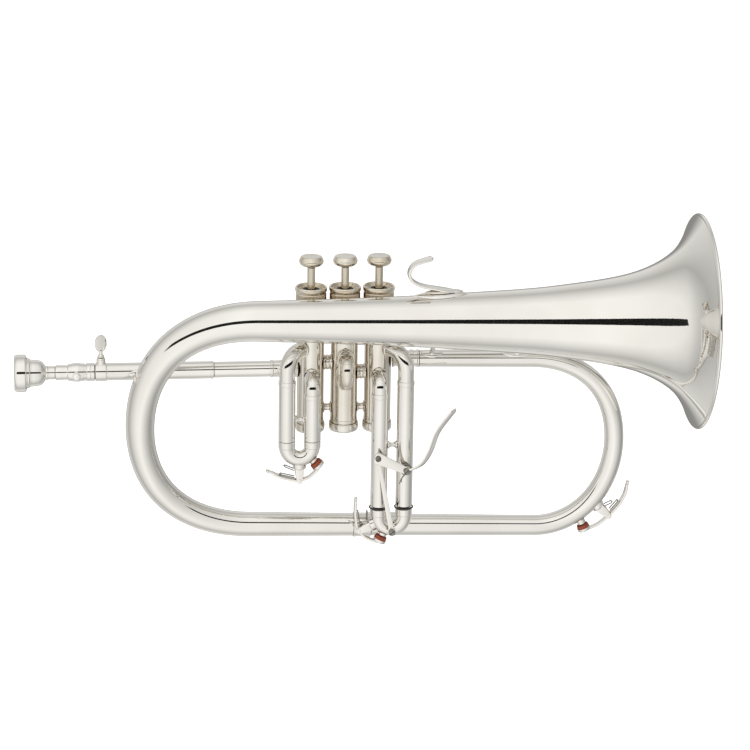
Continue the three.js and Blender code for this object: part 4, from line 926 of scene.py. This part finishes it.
for spot in ("inner", "outer"):
    centre = middle(f"slide_bumper_{spot}")
    a = np.linspace(0, 2 * np.pi, 24, endpoint=False)
    ring_profile = np.stack([6.3 + 0.6 * np.cos(a), 0.6 * np.sin(a)], axis=1)
    make(f"slide_bumper_{spot}_rubber", "third_slide", RUBBER,
         turned(ring_profile, centre, Z, SIDES, 0, closed=True), replaces=[f"slide_bumper_{spot}"])

# ------------------------------------------------------------------ trigger
FINGER_LEAN = (0.5, -0.28)  # how far the finger plate leans along x and z across its width


def leaned(part):
    verts, faces = part
    lean_x, lean_z = FINGER_LEAN
    return [(x + lean_x * (y - TRIGGER_Y), y, z + lean_z * (y - TRIGGER_Y)) for x, y, z in verts], faces


finger = [pin, pin + (6.5, 2.2), pin + (12, 6), pin + (17, 15), pin + (22, 29), pin + (34, 45.6)]
plate_arm = hull_outline((pin, 2.6), (link_top + (0.4, 1.2), 2.7), (link_top + (-1.2, -2.2), 1.8))
make("trigger_lever_silver", "trigger_lever", SILVER, plate(plate_arm, 1.6, TRIGGER_Y, 0.3),
     leaned(strap(finger, TRIGGER_Y, 1.9, [3.2, 6.5, 8, 8, 7.8, 8, 8])), replaces=["trigger_lever"])
link_y = middle("trigger_link")[1]
link_strip = hull_outline((link_top, 1.25), (link_low, 1.9))
make("trigger_link_silver", "trigger_link", SILVER, plate(link_strip, 1.2, link_y, 0.25),
     plate(circle_outline(link_top, 2.4), 1.4, link_y, 0.3),
     plate(circle_outline(link_low, 3.1), 1.4, link_y, 0.3), replaces=["trigger_link"])


def screw(at, face, length, shank_r, head_r):
    """A cheese-head screw facing the viewer's side; its slot is painted shade, a thin near-black plate laid
    across the head.
    """
    head = [(0.01, -length), (shank_r, -length), (shank_r, 0), (head_r, 0), (head_r, 1.1),
            (head_r - 0.5, 1.6), (0.01, 1.7)]
    slot = 0.28
    bar_shape = [(-head_r * 0.92, -slot), (head_r * 0.92, -slot), (head_r * 0.92, slot),
                 (-head_r * 0.92, slot)]
    turned_head = turned(head, (at[0], face, at[1]), -Y, SMALL, 0.2)
    c, s = math.cos(0.7), math.sin(0.7)
    outline = [(at[0] + px * c - pz * s, at[1] + px * s + pz * c) for px, pz in bar_shape]
    return turned_head, plate(outline, 0.1, face - 1.68, 0.02)


# Painted shade: the screw slots are near-black flat sheets on the heads, not cuts.
SLOT_DARK = metal("slot_shadow", (0.1, 0.095, 0.09), (0.05, 0.05, 0.05), (0.4, 0.6))
SLOTS[SLOT_DARK] = "steel"
SCREWS = {
    "trigger_pivot_screw": ("horn", pin, TRIGGER_Y - 1.1, 4, 1.1, 2.2),
    "link_screw_upper": ("trigger_lever", link_top, TRIGGER_Y - 1.1, 3.6, 1.0, 2.1),
    "link_screw_lower": ("third_slide", link_low, link_y - 1, 5, 0.8, 2.5),
}
for name, (body, at, face, length, shank_r, head_r) in SCREWS.items():
    head, slot_shade_sheet = screw(at, face, length, shank_r, head_r)
    make(f"{name}_metal", body, STEEL, head, replaces=[name])
    make(f"{name}_slot", body, SLOT_DARK, slot_shade_sheet)

a = np.linspace(0, 2 * np.pi * 3, 120)
coil = np.stack([pin[0] + 3.9 * np.cos(a), -26.4 + np.linspace(-1.1, 1.1, len(a)),
                 pin[1] + 3.9 * np.sin(a)], axis=1)
tails = [
    [(pin[0] - 3.9, -27.6, pin[1]), (pin[0] - 7, -28.2, pin[1] + 1.4), (pin[0] - 13, -28.4, pin[1] + 2.6)],
    [(pin[0], -25.3, pin[1] - 3.9), (pin[0] - 2.6, -25.4, pin[1] - 7), (pin[0] - 4.4, -25.6, pin[1] - 11)],
]
make("trigger_spring_wire", "horn", STEEL, wire(coil, 0.42),
     *[wire(smooth_curve(tail), 0.42) for tail in tails], replaces=["trigger_spring"])

# ------------------------------------------------------------------ finger hook and braces


def bell_axis(x):
    return tipped(np.array([x, BELL_Y, BELL_Z]))


def main_axis(x):
    return tipped(np.array([x, 0, EXIT_Z]))


hook_top = BELL_Z - 50 * math.sin(LOOP_TILT) + bell_radius_at(50)
curl = [(74, hook_top + 2.9), (62, hook_top + 5.2), (52, hook_top + 7.2), (45.6, hook_top + 10),
        (42.2, hook_top + 14.2), (42.4, hook_top + 19), (46.5, hook_top + 23.6), (58.5, hook_top + 27.4)]
make("finger_hook_silver", "horn", SILVER,
     strap(curl, BELL_Y, 2.3, [6, 9, 8, 7, 6.5, 6.5, 7, 8, 9, 9.5], sides=32),
     leaf(bell_axis, bell_radius_at, Z, 43, 81, 13.5, 2.2),
     leaf(bell_axis, lambda s: bell_radius_at(s) + 1.6, Z, 50, 78, 8.5, 2.6),
     replaces=["finger_hook"])
for name, x, foot in (("front", 122.0, 11), ("rear", 61.0, 8)):
    tube_at, bell_at = main_axis(x), bell_axis(x)
    toward = unit(bell_at - tube_at)
    tube_r = float(main_radius(x - EXIT_END_X))
    bell_r = bell_radius_at(x)
    start, end = tube_at + toward * tube_r, bell_at - toward * bell_r
    reach = np.linalg.norm(end - start)
    waist = [(0.01, -0.6), (3.0, -0.6), (2.6, 0.6), (1.75, 1.5), (1.6, reach / 2), (1.75, reach - 1.5),
             (2.8, reach - 0.5), (3.2, reach + 0.8), (0.01, reach + 0.8)]
    make(f"bell_brace_{name}_silver", "horn", SILVER, turned(waist, start, toward, SMALL, 0.5),
         leaf(main_axis, lambda s: tube_r, toward, x - foot, x + foot, 8, 1.3),
         leaf(bell_axis, bell_radius_at, -toward, x - 9, x + 9, 10, 1.3), replaces=[f"bell_brace_{name}"])


def bottom_axis(x):
    return tipped(np.array([x, 0, bottom_z(x)]))


def lead_axis(x):
    return np.array([x, 0, LEAD_Z])


def soldered_post(start, end, start_r, end_r, post):
    """A waisted post between two tubes, from the axis of one to the axis of the other."""
    start, end = np.asarray(start, float), np.asarray(end, float)
    toward = unit(end - start)
    reach = np.linalg.norm(end - start) - end_r
    shape = [(0.01, start_r - 1), (post + 1.2, start_r - 1), (post + 0.9, start_r + 0.4),
             (post, start_r + 1.2), (post, reach - 1.2), (post + 0.7, reach - 0.4), (post + 1.0, reach + 1),
             (0.01, reach + 1)]
    return turned(shape, start, toward, SMALL, 0.4)


bow_side = tipped(left_bow[np.argmin(np.abs(left_bow[:, 2] - 43.5))])
sleeve_spot = np.array([-144.5, 0, LEAD_Z])
make("leadpipe_brace_silver", "horn", SILVER,
     soldered_post(sleeve_spot, bow_side + X * 1.5, 6.1, 10.6, 2.0),
     leaf(lead_axis, lambda s: 6.1, unit(bow_side - sleeve_spot), -153, -136, 7.5, 1.2),
     replaces=["leadpipe_brace"])
bottom_r = float(main_radius(main_s[-1]))
leg_spot = np.array([VALVE_X[2], LEG_Y, -41.5])
make("bottom_brace_silver", "horn", SILVER,
     soldered_post(bottom_axis(31.5), leg_spot, bottom_r, LEG_R, 1.7),
     leaf(bottom_axis, lambda s: bottom_r, Z, 22.5, 45, 9, 1.4), replaces=["bottom_brace"])

# ------------------------------------------------------------------ light tent and camera
scene = bpy.context.scene
scene.view_settings.view_transform = "Standard"
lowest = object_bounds()[0][2]

VIEW_YAW, VIEW_RISE, VIEW_ROLL = math.radians(6.6), math.radians(17.5), math.radians(0.9)
VIEW_DISTANCE = 3100 * 0.7118 * MM
SENSOR_MM, FOCAL_PX, FRAME_PX = 36.0, 3100.0, 750.0
OFFSET_PX = (343.27 - 375.0, 375.0 - 429.4)  # where the origin falls, from the frame's middle

forward = np.array([math.sin(VIEW_YAW) * math.cos(VIEW_RISE), math.cos(VIEW_YAW) * math.cos(VIEW_RISE),
                    -math.sin(VIEW_RISE)])
right0 = np.array([math.cos(VIEW_YAW), -math.sin(VIEW_YAW), 0.0])
up0 = np.cross(right0, forward)
right = right0 * math.cos(VIEW_ROLL) + up0 * math.sin(VIEW_ROLL)
up = up0 * math.cos(VIEW_ROLL) - right0 * math.sin(VIEW_ROLL)
to_origin = forward + right * OFFSET_PX[0] / FOCAL_PX + up * OFFSET_PX[1] / FOCAL_PX

camera = bpy.data.objects.new("camera", bpy.data.cameras.new("camera"))
scene.collection.objects.link(camera)
camera.data.sensor_width = SENSOR_MM
camera.data.lens = FOCAL_PX / FRAME_PX * SENSOR_MM
camera.data.clip_start, camera.data.clip_end = 0.05, 50
camera.location = -to_origin * VIEW_DISTANCE
basis = np.stack([right, up, -forward], axis=1)
camera.rotation_mode = "QUATERNION"
camera.rotation_quaternion = Matrix(basis.tolist()).to_quaternion()
scene.camera = camera


def sheet(name, corners, material):
    mesh = bpy.data.meshes.new(name)
    mesh.from_pydata([tuple(c) for c in corners], [], [(0, 1, 2, 3)])
    mesh.materials.append(material)
    obj = bpy.data.objects.new(name, mesh)
    scene.collection.objects.link(obj)
    return obj


def tent_material(name, seen, felt):
    """White to the eye, and a softer tone to everything that reflects it."""
    material = bpy.data.materials.new(name)
    material.use_nodes = True
    tree = material.node_tree
    tree.nodes.clear()
    coords = tree.nodes.new("ShaderNodeTexCoord").outputs["Object"]
    clouds = noise(tree, coords, 3.0, 2.0)
    tone = ramp(tree, clouds, [(0.0, grey(0.97)), (1.0, grey(1.0))])
    diffuse = node(tree, "ShaderNodeBsdfDiffuse")
    tree.links.new(tone, diffuse.inputs["Color"])
    glow = node(tree, "ShaderNodeEmission", Strength=seen)
    tree.links.new(tone, glow.inputs["Color"])
    both = tree.nodes.new("ShaderNodeAddShader")
    tree.links.new(diffuse.outputs[0], both.inputs[0])
    tree.links.new(glow.outputs[0], both.inputs[1])
    dim = node(tree, "ShaderNodeEmission", Strength=felt)
    path = tree.nodes.new("ShaderNodeLightPath")
    pick = tree.nodes.new("ShaderNodeMixShader")
    tree.links.new(path.outputs["Is Glossy Ray"], pick.inputs["Fac"])
    tree.links.new(both.outputs[0], pick.inputs[1])
    tree.links.new(dim.outputs[0], pick.inputs[2])
    out = tree.nodes.new("ShaderNodeOutputMaterial")
    tree.links.new(pick.outputs[0], out.inputs["Surface"])
    return material


FLOOR_DROP = 0.16
floor_z = lowest - FLOOR_DROP
reach = 6.0
floor_corners = [(-reach, -reach, floor_z), (reach, -reach, floor_z), (reach, reach, floor_z),
                 (-reach, reach, floor_z)]
floor = sheet("floor", floor_corners, tent_material("floor_paper", 0.35, 0.8))
floor.visible_glossy = False

world = bpy.data.worlds.new("tent")
scene.world = world
world.use_nodes = True
tree = world.node_tree
background = tree.nodes["Background"]
direction = tree.nodes.new("ShaderNodeTexCoord").outputs["Generated"]
# The tent is brightest round the camera, has a grey belt beside it, and is darker behind the object.
TO_CAMERA = -forward


def along(axis):
    made = tree.nodes.new("ShaderNodeVectorMath")
    made.operation = "DOT_PRODUCT"
    made.inputs[1].default_value = tuple(axis)
    tree.links.new(direction, made.inputs[0])
    return made.outputs["Value"]


def remapped(value, low_in, high_in, low_out, high_out):
    made = tree.nodes.new("ShaderNodeMapRange")
    for slot_name, number in zip(("From Min", "From Max", "To Min", "To Max"),
                                 (low_in, high_in, low_out, high_out)):
        made.inputs[slot_name].default_value = number
    tree.links.new(value, made.inputs["Value"])
    return made.outputs["Result"]


def product(a, b):
    made = tree.nodes.new("ShaderNodeMath")
    made.operation = "MULTIPLY"
    tree.links.new(a, made.inputs[0])
    tree.links.new(b, made.inputs[1])
    return made.outputs["Value"]


tent_tones = [
    (0.0, 0.25), (0.03, 0.3), (0.09, 0.78), (0.2, 0.7), (0.36, 0.52), (0.58, 0.8), (0.75, 0.98), (1.0, 1.0),
]
belt = ramp(tree, remapped(along(TO_CAMERA), -1, 1, 0, 1), [(at, grey(tone)) for at, tone in tent_tones])
right_fall = remapped(along(right0), 0.0, 1.0, 1.0, 0.55)
left_fall = remapped(along(-right0), 0.0, 1.0, 1.0, 0.85)
strength = product(product(belt, right_fall), left_fall)
tree.links.new(strength, background.inputs["Strength"])
background.inputs["Color"].default_value = (1.0, 0.985, 0.95, 1)


def soft_box(name, at, size, power, target=(0, 0, 0.02)):
    light = bpy.data.lights.new(name, "AREA")
    light.shape = "RECTANGLE"
    light.size, light.size_y = size
    light.energy = power
    obj = bpy.data.objects.new(name, light)
    obj.location = at
    aim = np.array(target) - np.array(at)
    obj.rotation_mode = "QUATERNION"
    obj.rotation_quaternion = Vector(aim.tolist()).to_track_quat("-Z", "Y")
    obj.visible_glossy = False
    scene.collection.objects.link(obj)
    return obj


soft_box("roof", (0.1, -0.3, 1.6), (2.0, 1.4), 14)
soft_box("left_wall", (-1.5, -0.8, 0.6), (1.2, 1.2), 7)

# The black edge of the tent's camera slit: only polished surfaces see it.
slit_material = bpy.data.materials.new("slit_black")
slit_material.use_nodes = True
slit_tree = slit_material.node_tree
slit_shader = slit_tree.nodes["Principled BSDF"]
slit_coords = slit_tree.nodes.new("ShaderNodeTexCoord").outputs["Object"]
slit_tone = ramp(slit_tree, noise(slit_tree, slit_coords, 20.0), [(0.0, grey(0.002)), (1.0, grey(0.008))])
slit_tree.links.new(slit_tone, slit_shader.inputs["Base Color"])
slit_shader.inputs["Roughness"].default_value = 1.0
slit_y, slit_low, slit_high, slit_left, slit_right = -0.39, 0.13, 0.24, -0.55, 0.36
slit = sheet("slit", [(slit_left, slit_y, slit_low), (slit_right, slit_y, slit_low),
                      (slit_right, slit_y, slit_high), (slit_left, slit_y, slit_high)], slit_material)
slit.visible_camera = False
slit.visible_diffuse = False
slit.visible_shadow = False
